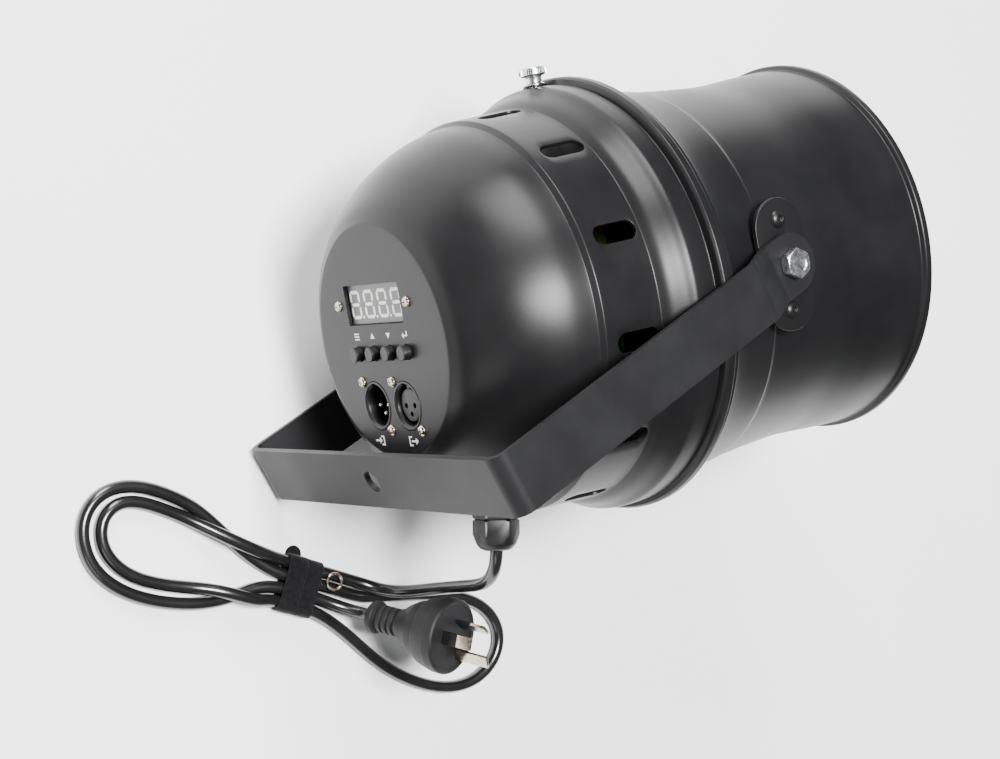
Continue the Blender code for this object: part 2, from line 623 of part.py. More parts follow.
def build_yoke():
    """Yoke: one bent strip with joggled tabs, in a frame on the pivot axis."""
    angle = math.radians(YOKE_ANGLE_DEG)
    arm_dir = Vector((0, -math.cos(angle), -math.sin(angle)))
    place = frame((0, PIVOT_Y, PIVOT_Z), Vector((1, 0, 0)).cross(arm_dir))
    tab_x = PLATE_INNER_X + PLATE_T + GAP + WASHER_T + GAP + YOKE_T / 2
    arm_x = YOKE_ARM_X - YOKE_T / 2
    bar = YOKE_REACH - YOKE_T / 2
    half = [(tab_x, -YOKE_TAB_TAIL, False), (tab_x, YOKE_JOGGLE[0], False),
            (arm_x, YOKE_JOGGLE[1], False), (arm_x, bar, True)]
    other = [(-x, y, bend) for x, y, bend in reversed(half)]
    path = round_corners(half + other, YOKE_BEND_R)
    yoke = sheet("yoke", [thicken(path, YOKE_T)], YOKE_WIDTH, place, "black_coat")

    across = place @ Matrix.Rotation(math.radians(90), 4, "Y")
    pivot_hole = rod("cut_yoke_pivot", PIVOT_HOLE_R, -130, 130, across, None, cutter=True)
    down_arm = place @ Matrix.Rotation(math.radians(-90), 4, "X")
    bar_hole = rod("cut_yoke_bar", YOKE_HOLE_R, bar - 8, bar + 8, down_arm, None, 32, cutter=True)
    r, edge = YOKE_TAB_TAIL, YOKE_WIDTH / 2 + 2
    corner = [(-edge, 0.0), (-r, 0.0)] + circle(r, 15, (0, 0), 180, 180)[1:-1] + [
        (r, 0.0), (edge, 0.0), (edge, -edge), (-edge, -edge)]
    tab_round = sheet("cut_yoke_tabs", [corner], 260, across, None, cutter=True)
    combine(yoke, [pivot_hole, bar_hole, tab_round])


# --------------------------------------------------------------------------
# Mains lead, plug and tie, in the world frame
# --------------------------------------------------------------------------
def gland_mouth():
    """Where the lead starts, inside the gland nut, in world millimetres."""
    x, y, z = Vector(GLAND_ROOT) + Vector(GLAND_AXIS).normalized() * (GLAND_TIP - 4.0)
    return (-z, y, x + YOKE_ARM_X)


def tie_point(lane, along):
    """A point in the tie: lane -1.5 to 1.5 across it, millimetres along the lead."""
    tx, ty = TIE_ALONG
    offset = lane * TIE_LANE
    return (TIE_CENTRE[0] + tx * along + ty * offset, TIE_CENTRE[1] + ty * along - tx * offset,
            TIE_Z)


def lead_route():
    """Route points of the lead: gland, floor, two turns of the hank each way, plug."""
    z, over = FLOOR_Z, OVER_Z
    fall = [gland_mouth(), (114.0, 42.3, 114.6), (121.0, 41.9, 111.5), (127.5, 42.5, 104.0),
            (131.3, 43.8, 93.0), (133.6, 45.2, 79.0), (136.0, 46.2, 60.0), (138.3, 44.8, 40.0),
            (139.6, 40.4, 24.0), (138.0, 33.4, 12.5), (132.7, 25.3, 6.2)]
    inner_turn = [tie_point(-1.5, 12), tie_point(-1.5, 0), tie_point(-1.5, -12),
                  (102.0, -29.5, 9.6), (93.5, -42.0, over), (84.5, -53.5, 8.0), (76.0, -64.0, 4.0),
                  (68.0, -75.6, z), (61.0, -88.0, z), (58.5, -99.0, z), (63.5, -108.5, z),
                  (73.7, -112.2, z), (85.0, -109.5, z), (96.0, -100.0, z), (104.5, -84.0, z),
                  (110.5, -67.0, 5.0), (115.0, -56.0, 9.5), (120.5, -46.0, over),
                  (125.0, -37.0, 8.8)]
    plug_turn = [tie_point(1.5, -12), tie_point(1.5, 0), tie_point(1.5, 12), (149.0, 5.0, z),
                 (163.0, 16.5, z), (178.4, 28.5, z), (191.5, 44.3, z), (201.0, 62.0, z),
                 (204.0, 79.0, z), (199.5, 94.0, z), (189.0, 103.5, z), (176.0, 104.5, z),
                 (164.0, 97.0, z), (156.0, 84.5, z), (149.5, 66.0, z), (145.0, 48.0, z),
                 (141.7, 32.0, z), (138.0, 20.5, z), (133.5, 12.5, z)]
    outer_turn = [tie_point(-0.5, 12), tie_point(-0.5, 0), tie_point(-0.5, -12),
                  (106.0, -31.5, z), (96.0, -40.5, z), (83.0, -50.0, z), (70.5, -60.0, z),
                  (61.5, -71.5, z), (54.0, -84.5, z), (50.5, -98.5, z), (53.5, -111.0, z),
                  (63.0, -119.5, z), (75.5, -121.5, z), (89.0, -118.0, z), (101.5, -107.0, z),
                  (111.5, -90.0, z), (118.0, -71.0, z), (120.0, -57.0, z), (119.8, -46.0, z),
                  (118.8, -35.0, 3.8)]
    to_plug = [tie_point(0.5, -12), tie_point(0.5, 0), tie_point(0.5, 12), (139.8, 7.4, 7.2)]
    axis = Vector(PLUG_AXIS).normalized()
    end = Vector(PLUG_START) - axis * GAP
    return fall + inner_turn + plug_turn + outer_turn + to_plug + [end - axis * 7.0, end]


def build_lead():
    """The lead itself: one round tube."""
    tube("cord", lead_route(), CORD_R, "cord_pvc")


def build_plug():
    """Moulded plug with a ribbed tail, and its three flat pins."""
    place = world_place(PLUG_START, PLUG_AXIS, (0, 0, 1))
    outline = [(0, 0), (5.6, 0)]
    for i in range(3):
        s, r = 0.4 + 6.4 * i, 8.0 - 0.5 * min(i, 1)
        outline += [(r, s), (r, s + 3.8), (r - 1.5, s + 4.4), (r - 1.5, s + 5.8)]
    outline += [(8.8, 21.0), (12.0, 25.5), (15.6, 31.5), (17.6, 36.5), (PLUG_R, 43.0),
                (PLUG_R, PLUG_LENGTH - 1.4), (PLUG_R - 1.4, PLUG_LENGTH), (0, PLUG_LENGTH)]
    turned("plug_body", outline, place, "black_plastic", world=True)
    for name, angle, radius, length, turn in (
        ("live", 256.0, 7.92, 17.0, 90.0), ("neutral", 16.0, 7.92, 17.0, 90.0),
        ("earth", 136.0, 10.3, 20.0, 0.0),
    ):
        a = math.radians(angle)
        offset = Vector((radius * math.cos(a), radius * math.sin(a),
                         PLUG_LENGTH + GAP + length / 2)) * MM
        pin = (place @ Matrix.Translation(offset)
               @ Matrix.Rotation(math.radians(angle + turn), 4, "Z"))
        box(f"plug_pin_{name}", (6.35, 1.63, length), pin, "nickel", world=True)


def rounded_box(width, height, radius):
    """A rounded rectangle outline."""
    w, h = width / 2 - radius, height / 2 - radius
    loop = []
    for x, y, start in ((w, h, 0), (-w, h, 90), (-w, -h, 180), (w, -h, 270)):
        loop += circle(radius, 5, (x, y), start, 90)
    return loop


def build_tie():
    """Hook-and-loop tie round the four strands, with the ring it threads through."""
    tx, ty = TIE_ALONG
    place = world_place((*TIE_CENTRE, TIE_Z), (tx, ty, 0), (ty, -tx, 0))
    span = 3 * TIE_LANE + 2 * CORD_R
    loops = [rounded_box(span + 4.0, 10.2, 4.9), rounded_box(span + 1.0, 7.6, 3.7)]
    sheet("cord_tie", loops, 20.0, place, "strap", world=True)
    x, y, _ = tie_point(-1.0, 17.5)
    turned("tie_ring", [(4.2 + 0.9 * math.cos(a), 0.9 * math.sin(a))
                        for a in (math.tau * i / 6 for i in range(6))],
           world_place((x, y, 10.2)), "nickel", 12, world=True)


def main():
    """Build the whole part."""
    reset_scene()
    build_rear_cap()
    build_front_can()
    build_thumbscrew()
    build_panel_screws()
    build_display()
    build_buttons()
    build_xlr_sockets()
    build_light_source()
    build_supply()
    build_gland()
    build_pivots()
    build_yoke()
    build_lead()
    build_plug()
    build_tie()
    bpy.context.view_layer.update()


if __name__ == "__main__":
    main()
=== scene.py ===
"""Looks of a black stage par can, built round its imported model.

Sizes are in millimetres in the lamp's own frame: X to the right as its rear panel is read, Y from
the panel to the lens, Z up the panel. The lamp lies on its side, so the lamp's X is the row's Z.
Each sub-assembly is a class that builds its meshes and dresses them, and main() runs them in turn.
"""

import logging
import math
from dataclasses import dataclass
from enum import Enum

import bmesh
import bpy
from mathutils import Matrix, Vector


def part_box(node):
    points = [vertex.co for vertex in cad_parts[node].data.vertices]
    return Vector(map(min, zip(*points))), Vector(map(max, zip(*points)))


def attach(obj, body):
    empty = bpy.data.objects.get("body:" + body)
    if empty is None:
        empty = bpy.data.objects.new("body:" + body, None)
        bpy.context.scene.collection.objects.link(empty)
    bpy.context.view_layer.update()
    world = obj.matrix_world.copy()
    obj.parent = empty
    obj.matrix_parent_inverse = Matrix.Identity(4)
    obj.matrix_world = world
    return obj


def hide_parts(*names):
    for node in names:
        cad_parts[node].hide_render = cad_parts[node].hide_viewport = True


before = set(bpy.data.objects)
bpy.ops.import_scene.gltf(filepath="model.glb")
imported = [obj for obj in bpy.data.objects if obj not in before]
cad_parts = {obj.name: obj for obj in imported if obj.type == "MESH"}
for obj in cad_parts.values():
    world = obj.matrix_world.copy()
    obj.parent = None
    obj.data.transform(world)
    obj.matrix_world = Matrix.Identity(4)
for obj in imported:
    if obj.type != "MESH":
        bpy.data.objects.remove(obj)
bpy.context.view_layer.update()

LOG = logging.getLogger("par_can")
MM = 0.001
MM_PER_M = 1000
# One turn of a wave texture, in radians, as its scale counts it.
WAVE_TURN = 6.28
# Half the angle, in radians, above which a corner counts as straight.
STRAIGHT_HALF = 1.56
# The most of a side that one rounded corner may take.
SIDE_SHARE = 0.495
Loop = list[tuple[float, ...]]
Link = tuple[bpy.types.Node, str | int]


# ----------------------------------------------------------------------------------------------
# Places
# ----------------------------------------------------------------------------------------------
def lamp_to_row() -> Matrix:
    """Find the lamp's frame from the rear cap's own box.

    Returns:
        The matrix from the lamp's frame, in metres, to the row's.
    """
    low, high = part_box("rear_cap")
    root = Vector(((low.x + high.x) / 2, low.y, (low.z + high.z) / 2))
    return Matrix.Translation(root) @ Matrix.Rotation(math.radians(-90.0), 4, "Y")


LAMP = lamp_to_row()
FLOOR_ROOT = Vector((LAMP.translation.x, LAMP.translation.y, 0.0))


def turned_to(z_axis: tuple, x_hint: tuple) -> Matrix:
    """Make a rotation from two directions.

    Args:
        z_axis: Its Z axis.
        x_hint: A direction its X axis lies near.

    Returns:
        The rotation, as a 4 by 4 matrix.
    """
    z = Vector(z_axis).normalized()
    x = Vector(x_hint)
    x = (x - z * x.dot(z)).normalized()
    return Matrix((x, z.cross(x), z)).transposed().to_4x4()


def facing(origin: tuple, z_axis: tuple, x_hint: tuple = (1, 0, 0)) -> Matrix:
    """Make a frame in metres from millimetres.

    Args:
        origin: Its origin in millimetres.
        z_axis: Its Z axis.
        x_hint: A direction its X axis lies near.

    Returns:
        The frame's matrix.
    """
    matrix = turned_to(z_axis, x_hint)
    matrix.translation = Vector(origin) * MM
    return matrix


def on_panel(x: float, z: float, y: float = 0.0) -> Matrix:
    """A frame on the rear panel whose Z comes out of the panel and Y points up it."""
    return LAMP @ facing((x, y, z), (0, -1, 0))


def on_axis(y: float = 0.0) -> Matrix:
    """A frame on the lamp's axis whose Z points to the lens."""
    return LAMP @ facing((0, y, 0), (0, 1, 0))


def on_floor(point: tuple, z_axis: tuple, x_hint: tuple = (1, 0, 0)) -> Matrix:
    """A frame given in row axes, with X and Y counted from the lamp's own axis and panel."""
    return Matrix.Translation(FLOOR_ROOT) @ facing(point, z_axis, x_hint)


# ----------------------------------------------------------------------------------------------
# Shapes
# ----------------------------------------------------------------------------------------------
def circle(radius: float, count: int = 48, centre: tuple = (0.0, 0.0), start: float = 0.0,
           sweep: float = 360.0) -> Loop:
    """Points on a circle, or on an arc when the sweep is under 360 degrees.

    Args:
        radius: Its radius.
        count: How many points.
        centre: Its centre.
        start: The first point's angle in degrees.
        sweep: The angle it covers in degrees.

    Returns:
        The points.
    """
    steps = count if sweep >= 360.0 else count - 1
    angles = [math.radians(start + sweep * i / steps) for i in range(count)]
    return [(centre[0] + radius * math.cos(a), centre[1] + radius * math.sin(a)) for a in angles]


def rectangle(low: tuple[float, float], high: tuple[float, float], *radius: float) -> Loop:
    """A rectangle from its low corner to its high one, with a radius for filleted if given."""
    return [(low[0], low[1], *radius), (high[0], low[1], *radius),
            (high[0], high[1], *radius), (low[0], high[1], *radius)]


def filleted(points: Loop, closed: bool = True, steps: int = 5) -> Loop:
    """Round the corners of a path.

    Args:
        points: (x, y) points, or (x, y, radius) for a corner to round.
        closed: Whether the last point joins the first.
        steps: Pieces in each rounded corner.

    Returns:
        The rounded path.
    """
    path: Loop = []
    for i, (x, y, *rest) in enumerate(points):
        corner, radius = Vector((x, y)), rest[0] if rest else 0.0
        if not radius or (not closed and i in (0, len(points) - 1)):
            path.append((x, y))
            continue
        before = Vector(points[i - 1][:2]) - corner
        after = Vector(points[(i + 1) % len(points)][:2]) - corner
        room = min(before.length, after.length) * SIDE_SHARE
        before.normalize()
        after.normalize()
        half = before.angle(after) / 2
        if half > STRAIGHT_HALF:
            path.append((x, y))
            continue
        cut = min(radius / math.tan(half), room)
        centre = corner + (before + after).normalized() * (cut / math.cos(half))
        start = corner + before * cut - centre
        turn = start.angle_signed(corner + after * cut - centre)
        for k in range(steps + 1):
            offset = start.copy()
            offset.rotate(Matrix.Rotation(-turn * k / steps, 2))
            path.append(tuple(centre + offset))
    return path


def smooth_through(points: list[tuple], steps: int) -> list[tuple]:
    """Run a smooth curve through points, with even spacing kept near close points.

    Args:
        points: Points of two or three coordinates.
        steps: Pieces between two points.

    Returns:
        The curve's points, first and last included.
    """
    p = [Vector(q) for q in points]
    p = [p[0] * 2 - p[1], *p, p[-1] * 2 - p[-2]]
    out = []
    for i in range(1, len(p) - 2):
        knots = [0.0]
        for a, b in zip(p[i - 1:i + 2], p[i:i + 3]):
            knots.append(knots[-1] + max((b - a).length, 1e-6) ** 0.5)
        t0, t1, t2, t3 = knots
        for k in range(steps):
            t = t1 + (t2 - t1) * k / steps
            a1 = p[i - 1] * ((t1 - t) / (t1 - t0)) + p[i] * ((t - t0) / (t1 - t0))
            a2 = p[i] * ((t2 - t) / (t2 - t1)) + p[i + 1] * ((t - t1) / (t2 - t1))
            a3 = p[i + 1] * ((t3 - t) / (t3 - t2)) + p[i + 2] * ((t - t2) / (t3 - t2))
            b1 = a1 * ((t2 - t) / (t2 - t0)) + a2 * ((t - t0) / (t2 - t0))
            b2 = a2 * ((t3 - t) / (t3 - t1)) + a3 * ((t - t1) / (t3 - t1))
            out.append(tuple(b1 * ((t2 - t) / (t2 - t1)) + b2 * ((t - t1) / (t2 - t1))))
    out.append(tuple(points[-1]))
    return out


def mesh_of(bm: bmesh.types.BMesh, name: str, outward: bool = True) -> bpy.types.Mesh:
    """Turn a bmesh into a mesh.

    Args:
        bm: The bmesh, which is freed.
        name: The mesh's name.
        outward: Whether to turn its faces outward.

    Returns:
        The mesh, still in millimetres.
    """
    bmesh.ops.remove_doubles(bm, verts=bm.verts, dist=1e-4)
    if outward:
        bmesh.ops.recalc_face_normals(bm, faces=bm.faces)
    mesh = bpy.data.meshes.new(name)
    bm.to_mesh(mesh)
    bm.free()
    return mesh


def revolved(outline: Loop, steps: int = 64, closed: bool = True) -> bmesh.types.BMesh:
    """Turn a (radius, height) outline about local Z.

    Args:
        outline: The outline's points. A point on the axis becomes a pole.
        steps: Divisions of the turn.
        closed: Whether the last point joins the first.

    Returns:
        The surface.
    """
    bm = bmesh.new()
    rings = []
    for r, z in outline:
        if r < 1e-6:
            rings.append([bm.verts.new((0, 0, z))])
            continue
        rings.append([bm.verts.new((r * math.cos(math.tau * i / steps),
                                    r * math.sin(math.tau * i / steps), z))
                      for i in range(steps)])
    following = rings[1:] + rings[:1] if closed else rings[1:]
    for low, high in zip(rings, following):
        for i in range(steps):
            j = (i + 1) % steps
            corners = dict.fromkeys((low[i % len(low)], low[j % len(low)],
                                     high[j % len(high)], high[i % len(high)]))
            if len(corners) > 2:
                bm.faces.new(list(corners))
    return bm


def turned(outline: Loop, steps: int = 64, name: str = "turned") -> bpy.types.Mesh:
    """A closed turned solid."""
    return mesh_of(revolved(outline, steps), name)


def baked(obj: bpy.types.Object) -> bpy.types.Mesh:
    """Apply an object's modifiers.

    Args:
        obj: The object, which is removed.

    Returns:
        Its evaluated mesh, as a plain one.
    """
    bpy.context.view_layer.update()
    graph = bpy.context.evaluated_depsgraph_get()
    mesh = bpy.data.meshes.new_from_object(obj.evaluated_get(graph))
    bpy.data.objects.remove(obj, do_unlink=True)
    return mesh


def held(data: bpy.types.ID, name: str = "work") -> bpy.types.Object:
    """Link a working object that holds the data."""
    obj = bpy.data.objects.new(name, data)
    bpy.context.scene.collection.objects.link(obj)
    return obj


def plate(loops: list[Loop], thickness: float, edge: float = 0.0) -> bpy.types.Mesh:
    """A flat plate centred on local Z, with holes and rounded edges.

    Args:
        loops: Its outline and holes.
        thickness: Its thickness.
        edge: The radius of its edges.

    Returns:
        The plate's mesh.
    """
    curve = bpy.data.curves.new("plate", "CURVE")
    curve.dimensions, curve.fill_mode = "2D", "BOTH"
    curve.extrude = thickness / 2 - edge
    curve.bevel_depth, curve.bevel_resolution, curve.offset = edge, 2, -edge
    for loop in loops:
        spline = curve.splines.new("POLY")
        spline.points.add(len(loop) - 1)
        for point, (x, y) in zip(spline.points, loop):
            point.co = (x, y, 0.0, 1.0)
        spline.use_cyclic_u = True
    bm = bmesh.new()
    bm.from_mesh(baked(held(curve)))
    return mesh_of(bm, "plate")


def cut(mesh: bpy.types.Mesh, cutters: list[bpy.types.Mesh], operation: str = "DIFFERENCE"
        ) -> bpy.types.Mesh:
    """Cut a mesh by others.

    Args:
        mesh: The mesh to cut.
        cutters: Closed meshes in the same frame.
        operation: The Boolean's operation.

    Returns:
        The cut mesh.
    """
    obj = held(mesh)
    tools = [held(c) for c in cutters]
    for tool in tools:
        mod = obj.modifiers.new("cut", "BOOLEAN")
        mod.solver, mod.operation, mod.object = "EXACT", operation, tool
    result = baked(obj)
    for tool in tools:
        bpy.data.objects.remove(tool, do_unlink=True)
    return result


def moved(mesh: bpy.types.Mesh, matrix: Matrix) -> bpy.types.Mesh:
    """Move a mesh by a matrix in its own units."""
    mesh.transform(matrix)
    return mesh


def shifted(mesh: bpy.types.Mesh, x: float = 0.0, y: float = 0.0, z: float = 0.0
            ) -> bpy.types.Mesh:
    """Shift a mesh in its own units."""
    return moved(mesh, Matrix.Translation((x, y, z)))


def joined(meshes: list[bpy.types.Mesh], name: str = "joined") -> bpy.types.Mesh:
    """Put several meshes into one, keeping each one's faces apart.

    Args:
        meshes: The meshes, which stay as they are.
        name: The new mesh's name.

    Returns:
        The new mesh, without materials.
    """
    bm = bmesh.new()
    for mesh in meshes:
        bm.from_mesh(mesh)
    out = bpy.data.meshes.new(name)
    bm.to_mesh(out)
    bm.free()
    return out


def bevelled(mesh: bpy.types.Mesh, width: float, angle: float = 50.0, segments: int = 2,
             within: tuple[float, float] | None = None) -> bpy.types.Mesh:
    """Round a mesh's sharp edges.

    Args:
        mesh: The mesh, in millimetres.
        width: The rounding's width.
        angle: The least angle between faces, in degrees, of an edge to round.
        segments: Pieces across the rounding.
        within: The range of local Z in which edges are rounded, or None for all.

    Returns:
        The rounded mesh.
    """
    bm = bmesh.new()
    bm.from_mesh(mesh)
    limit = math.radians(angle)
    edges = [e for e in bm.edges if len(e.link_faces) == 2 and e.calc_face_angle(0) > limit
             and (within is None or all(within[0] < v.co.z < within[1] for v in e.verts))]
    bmesh.ops.bevel(bm, geom=edges, offset=width, segments=segments, profile=0.5,
                    affect="EDGES", clamp_overlap=True)
    bm.to_mesh(mesh)
    bm.free()
    return mesh


def swept_strip(path: list[Vector], half_widths: list[float], thickness: float
                ) -> bpy.types.Mesh:
    """A strip of flat stock along a path in the local XZ plane, its width along local Y.

    Args:
        path: (x, z) points of its middle line.
        half_widths: Half its width at each point.
        thickness: Its thickness.

    Returns:
        The strip's mesh.
    """
    bm = bmesh.new()
    sections = []
    for i, (point, half) in enumerate(zip(path, half_widths)):
        back = (point - path[max(i - 1, 0)]) if i else (path[1] - point)
        ahead = (path[i + 1] - point) if i + 1 < len(path) else back
        along = (back.normalized() + ahead.normalized()).normalized()
        out = Vector((-along.y, along.x)) * (thickness / 2 / max(along.dot(back.normalized()), .5))
        sections.append([bm.verts.new((point.x + s * out.x, w * half, point.y + s * out.y))
                         for s, w in ((1, -1), (1, 1), (-1, 1), (-1, -1))])
    for a, b in zip(sections, sections[1:]):
        for k in range(4):
            bm.faces.new((a[k], a[(k + 1) % 4], b[(k + 1) % 4], b[k]))
    bm.faces.new(sections[0])
    bm.faces.new(sections[-1][::-1])
    return mesh_of(bm, "strip")


# ----------------------------------------------------------------------------------------------
# Repeats, by Geometry Nodes
# ----------------------------------------------------------------------------------------------
class Layout(Enum):
    """How a repeated shape is laid out."""

    RING = "ring"
    ROW = "row"
    POINTS = "points"


def add_node(tree: bpy.types.NodeTree, kind: str, links: dict[str | int, Link] | None = None,
             values: dict[str | int, object] | None = None, **settings: object) -> bpy.types.Node:
    """Add a node with its settings and links.

    Args:
        tree: The tree it joins.
        kind: The node's type.
        links: Input socket to (node, output socket).
        values: Input socket to its own value.
        **settings: Attributes of the node.

    Returns:
        The node.
    """
    node = tree.nodes.new(kind)
    for key, value in settings.items():
        setattr(node, key, value)
    for key, value in (values or {}).items():
        node.inputs[key].default_value = value
    for key, (source, output) in (links or {}).items():
        tree.links.new(source.outputs[output], node.inputs[key])
    return node


def repeat_tree(layout: Layout) -> bpy.types.NodeTree:
    """Build the tree that repeats a template, once for each layout.

    Args:
        layout: The layout.

    Returns:
        Its node tree, with inputs Template, Count, Spacing, First Angle and Material.
    """
    name = f"repeat_{layout.value}"
    if name in bpy.data.node_groups:
        return bpy.data.node_groups[name]
    tree = bpy.data.node_groups.new(name, "GeometryNodeTree")
    face = tree.interface
    face.new_socket("Geometry", in_out="OUTPUT", socket_type="NodeSocketGeometry")
    for label, kind in (("Points", "NodeSocketGeometry"), ("Template", "NodeSocketObject"),
                        ("Count", "NodeSocketInt"), ("Spacing", "NodeSocketFloat"),
                        ("First Angle", "NodeSocketFloat"), ("Material", "NodeSocketMaterial")):
        face.new_socket(label, in_out="INPUT", socket_type=kind)
    given = add_node(tree, "NodeGroupInput")
    template = add_node(tree, "GeometryNodeObjectInfo", {"Object": (given, "Template")})
    turn: dict[str | int, Link] = {}
    if layout is Layout.RING:
        places: Link = (add_node(tree, "GeometryNodeMeshCircle", {
            "Vertices": (given, "Count"), "Radius": (given, "Spacing")}), "Mesh")
        share = add_node(tree, "ShaderNodeMath", {1: (given, "Count")}, {0: math.tau},
                         operation="DIVIDE")
        index = add_node(tree, "GeometryNodeInputIndex")
        angle = add_node(tree, "ShaderNodeMath", {0: (index, 0), 1: (share, 0)},
                         operation="MULTIPLY")
        euler = add_node(tree, "ShaderNodeCombineXYZ", {"Z": (angle, 0)})
        turn = {"Rotation": (add_node(tree, "FunctionNodeEulerToRotation", {0: (euler, 0)}), 0)}
    elif layout is Layout.ROW:
        step = add_node(tree, "ShaderNodeCombineXYZ", {"X": (given, "Spacing")})
        places = (add_node(tree, "GeometryNodeMeshLine", {
            "Count": (given, "Count"), "Offset": (step, 0)}), "Mesh")
    else:
        places = (given, "Points")
    spread = add_node(tree, "GeometryNodeInstanceOnPoints",
                      {"Points": places, "Instance": (template, "Geometry"), **turn})
    start = add_node(tree, "ShaderNodeCombineXYZ", {"Z": (given, "First Angle")})
    aimed = add_node(tree, "GeometryNodeTransform",
                     {"Geometry": (spread, 0), "Rotation": (start, 0)})
    real = add_node(tree, "GeometryNodeRealizeInstances", {"Geometry": (aimed, 0)})
    coated = add_node(tree, "GeometryNodeSetMaterial",
                      {"Geometry": (real, 0), "Material": (given, "Material")})
    add_node(tree, "NodeGroupOutput", {"Geometry": (coated, 0)})
    return tree


def repeated(template: bpy.types.Mesh, material: bpy.types.Material, layout: Layout,
             count: int = 1, spacing: float = 0.0, first_angle: float = 0.0,
             points: Loop | None = None) -> bpy.types.Mesh:
    """Repeat a template mesh.

    Args:
        template: The mesh to repeat, in millimetres.
        material: What the repeats are made of.
        layout: How they are laid out.
        count: How many, for a ring or a row.
        spacing: A ring's radius or a row's pitch.
        first_angle: A ring's first angle in degrees.
        points: The (x, y) places, for points.

    Returns:
        The repeats as one plain mesh.
    """
    seeds = bpy.data.meshes.new("seeds")
    seeds.from_pydata([(*p, 0.0) for p in points or []], [], [])
    holder, pattern = held(seeds), held(template)
    tree = repeat_tree(layout)
    mod = holder.modifiers.new("repeat", "NODES")
    mod.node_group = tree
    wanted = {"Template": pattern, "Count": count, "Spacing": spacing,
              "First Angle": math.radians(first_angle), "Material": material}
    for item in tree.interface.items_tree:
        if item.in_out == "INPUT" and item.name in wanted:
            mod[item.identifier] = wanted[item.name]
    result = baked(holder)
    bpy.data.objects.remove(pattern, do_unlink=True)
    return result


# ----------------------------------------------------------------------------------------------
# Finishes
# ----------------------------------------------------------------------------------------------
def linear(hex_colour: str) -> tuple[float, float, float, float]:
    """Turn an sRGB hex colour into linear light."""
    parts = [int(hex_colour[i:i + 2], 16) / 255 for i in (1, 3, 5)]
    return (*(c / 12.92 if c <= 0.04045 else ((c + 0.055) / 1.055) ** 2.4 for c in parts), 1.0)


@dataclass(frozen=True)
class Finish:
    """One finish: its shader values, and the grain that gives its surface.

    Attributes:
        name: The finish's name.
        dark: Its darker sRGB colour.
        light: Its lighter sRGB colour.
        metallic: How metallic it is.
        roughness: Its mean roughness.
        ior: Its index of refraction.
        uneven: How far roughness varies either way.
        grain_mm: Size of the surface's grain.
        relief_mm: Height of the grain.
        patch_mm: Size of the slow variation of colour and roughness.
        stretch: How many times finer the grain is across each axis.
        coat: Weight of a clear coat.
        sheen: Weight of sheen.
        transmission: How clear it is.
    """

    name: str
    dark: str
    light: str
    metallic: float = 0.0
    roughness: float = 0.4
    ior: float = 1.5
    uneven: float = 0.04
    grain_mm: float = 0.6
    relief_mm: float = 0.01
    patch_mm: float = 25.0
    stretch: tuple[float, float, float] = (1.0, 1.0, 1.0)
    coat: float = 0.0
    sheen: float = 0.0
    transmission: float = 0.0

    def material(self) -> bpy.types.Material:
        """Build the material, once."""
        if self.name in bpy.data.materials and bpy.data.materials[self.name].get("dressed"):
            return bpy.data.materials[self.name]
        mat = bpy.data.materials.new(self.name)
        mat["dressed"] = True
        mat.use_nodes = True
        tree = mat.node_tree
        shader = tree.nodes["Principled BSDF"]
        for socket, value in (("Metallic", self.metallic), ("Coat Weight", self.coat),
                              ("Coat Roughness", 0.08), ("Sheen Weight", self.sheen),
                              ("Sheen Roughness", 0.5), ("Transmission Weight", self.transmission)):
            shader.inputs[socket].default_value = value
        if not self.metallic:
            shader.inputs["IOR"].default_value = self.ior
        where = add_node(tree, "ShaderNodeTexCoord")
        slow = add_node(tree, "ShaderNodeTexNoise", {"Vector": (where, "Object")},
                        {"Scale": MM_PER_M / self.patch_mm, "Detail": 3.0, "Roughness": 0.6})
        tone = add_node(tree, "ShaderNodeValToRGB", {"Fac": (slow, 0)})
        for stop, place, colour in zip(tone.color_ramp.elements, (0.35, 0.65),
                                       (self.dark, self.light)):
            stop.position, stop.color = place, linear(colour)
        rough = add_node(tree, "ShaderNodeMapRange", {"Value": (slow, 0)}, {
            "From Min": 0.3, "From Max": 0.7, "To Min": self.roughness - self.uneven,
            "To Max": self.roughness + self.uneven})
        stretched = add_node(tree, "ShaderNodeMapping", {"Vector": (where, "Object")},
                             {"Scale": self.stretch})
        grain = self.grain_node(tree, stretched)
        bump = add_node(tree, "ShaderNodeBump", {"Height": grain},
                        {"Strength": 1.0, "Distance": self.relief_mm * MM})
        tree.links.new(tone.outputs[0], shader.inputs["Base Color"])
        tree.links.new(rough.outputs[0], shader.inputs["Roughness"])
        tree.links.new(bump.outputs[0], shader.inputs["Normal"])
        return mat

    def grain_node(self, tree: bpy.types.NodeTree, place: bpy.types.Node) -> Link:
        """Add the grain's texture, and return its height output."""
        return add_node(tree, "ShaderNodeTexNoise", {"Vector": (place, 0)},
                        {"Scale": MM_PER_M / self.grain_mm, "Detail": 2.0, "Roughness": 0.5}), 0


@dataclass(frozen=True)
class Fleece(Finish):
    """Hook-and-loop strap: a brushed pile of short loops over a weave."""

    def grain_node(self, tree: bpy.types.NodeTree, place: bpy.types.Node) -> Link:
        """Add cells for the loops, and return their height output."""
        return add_node(tree, "ShaderNodeTexVoronoi", {"Vector": (place, 0)},
                        {"Scale": MM_PER_M / self.grain_mm, "Randomness": 0.9},
                        feature="SMOOTH_F1"), "Distance"


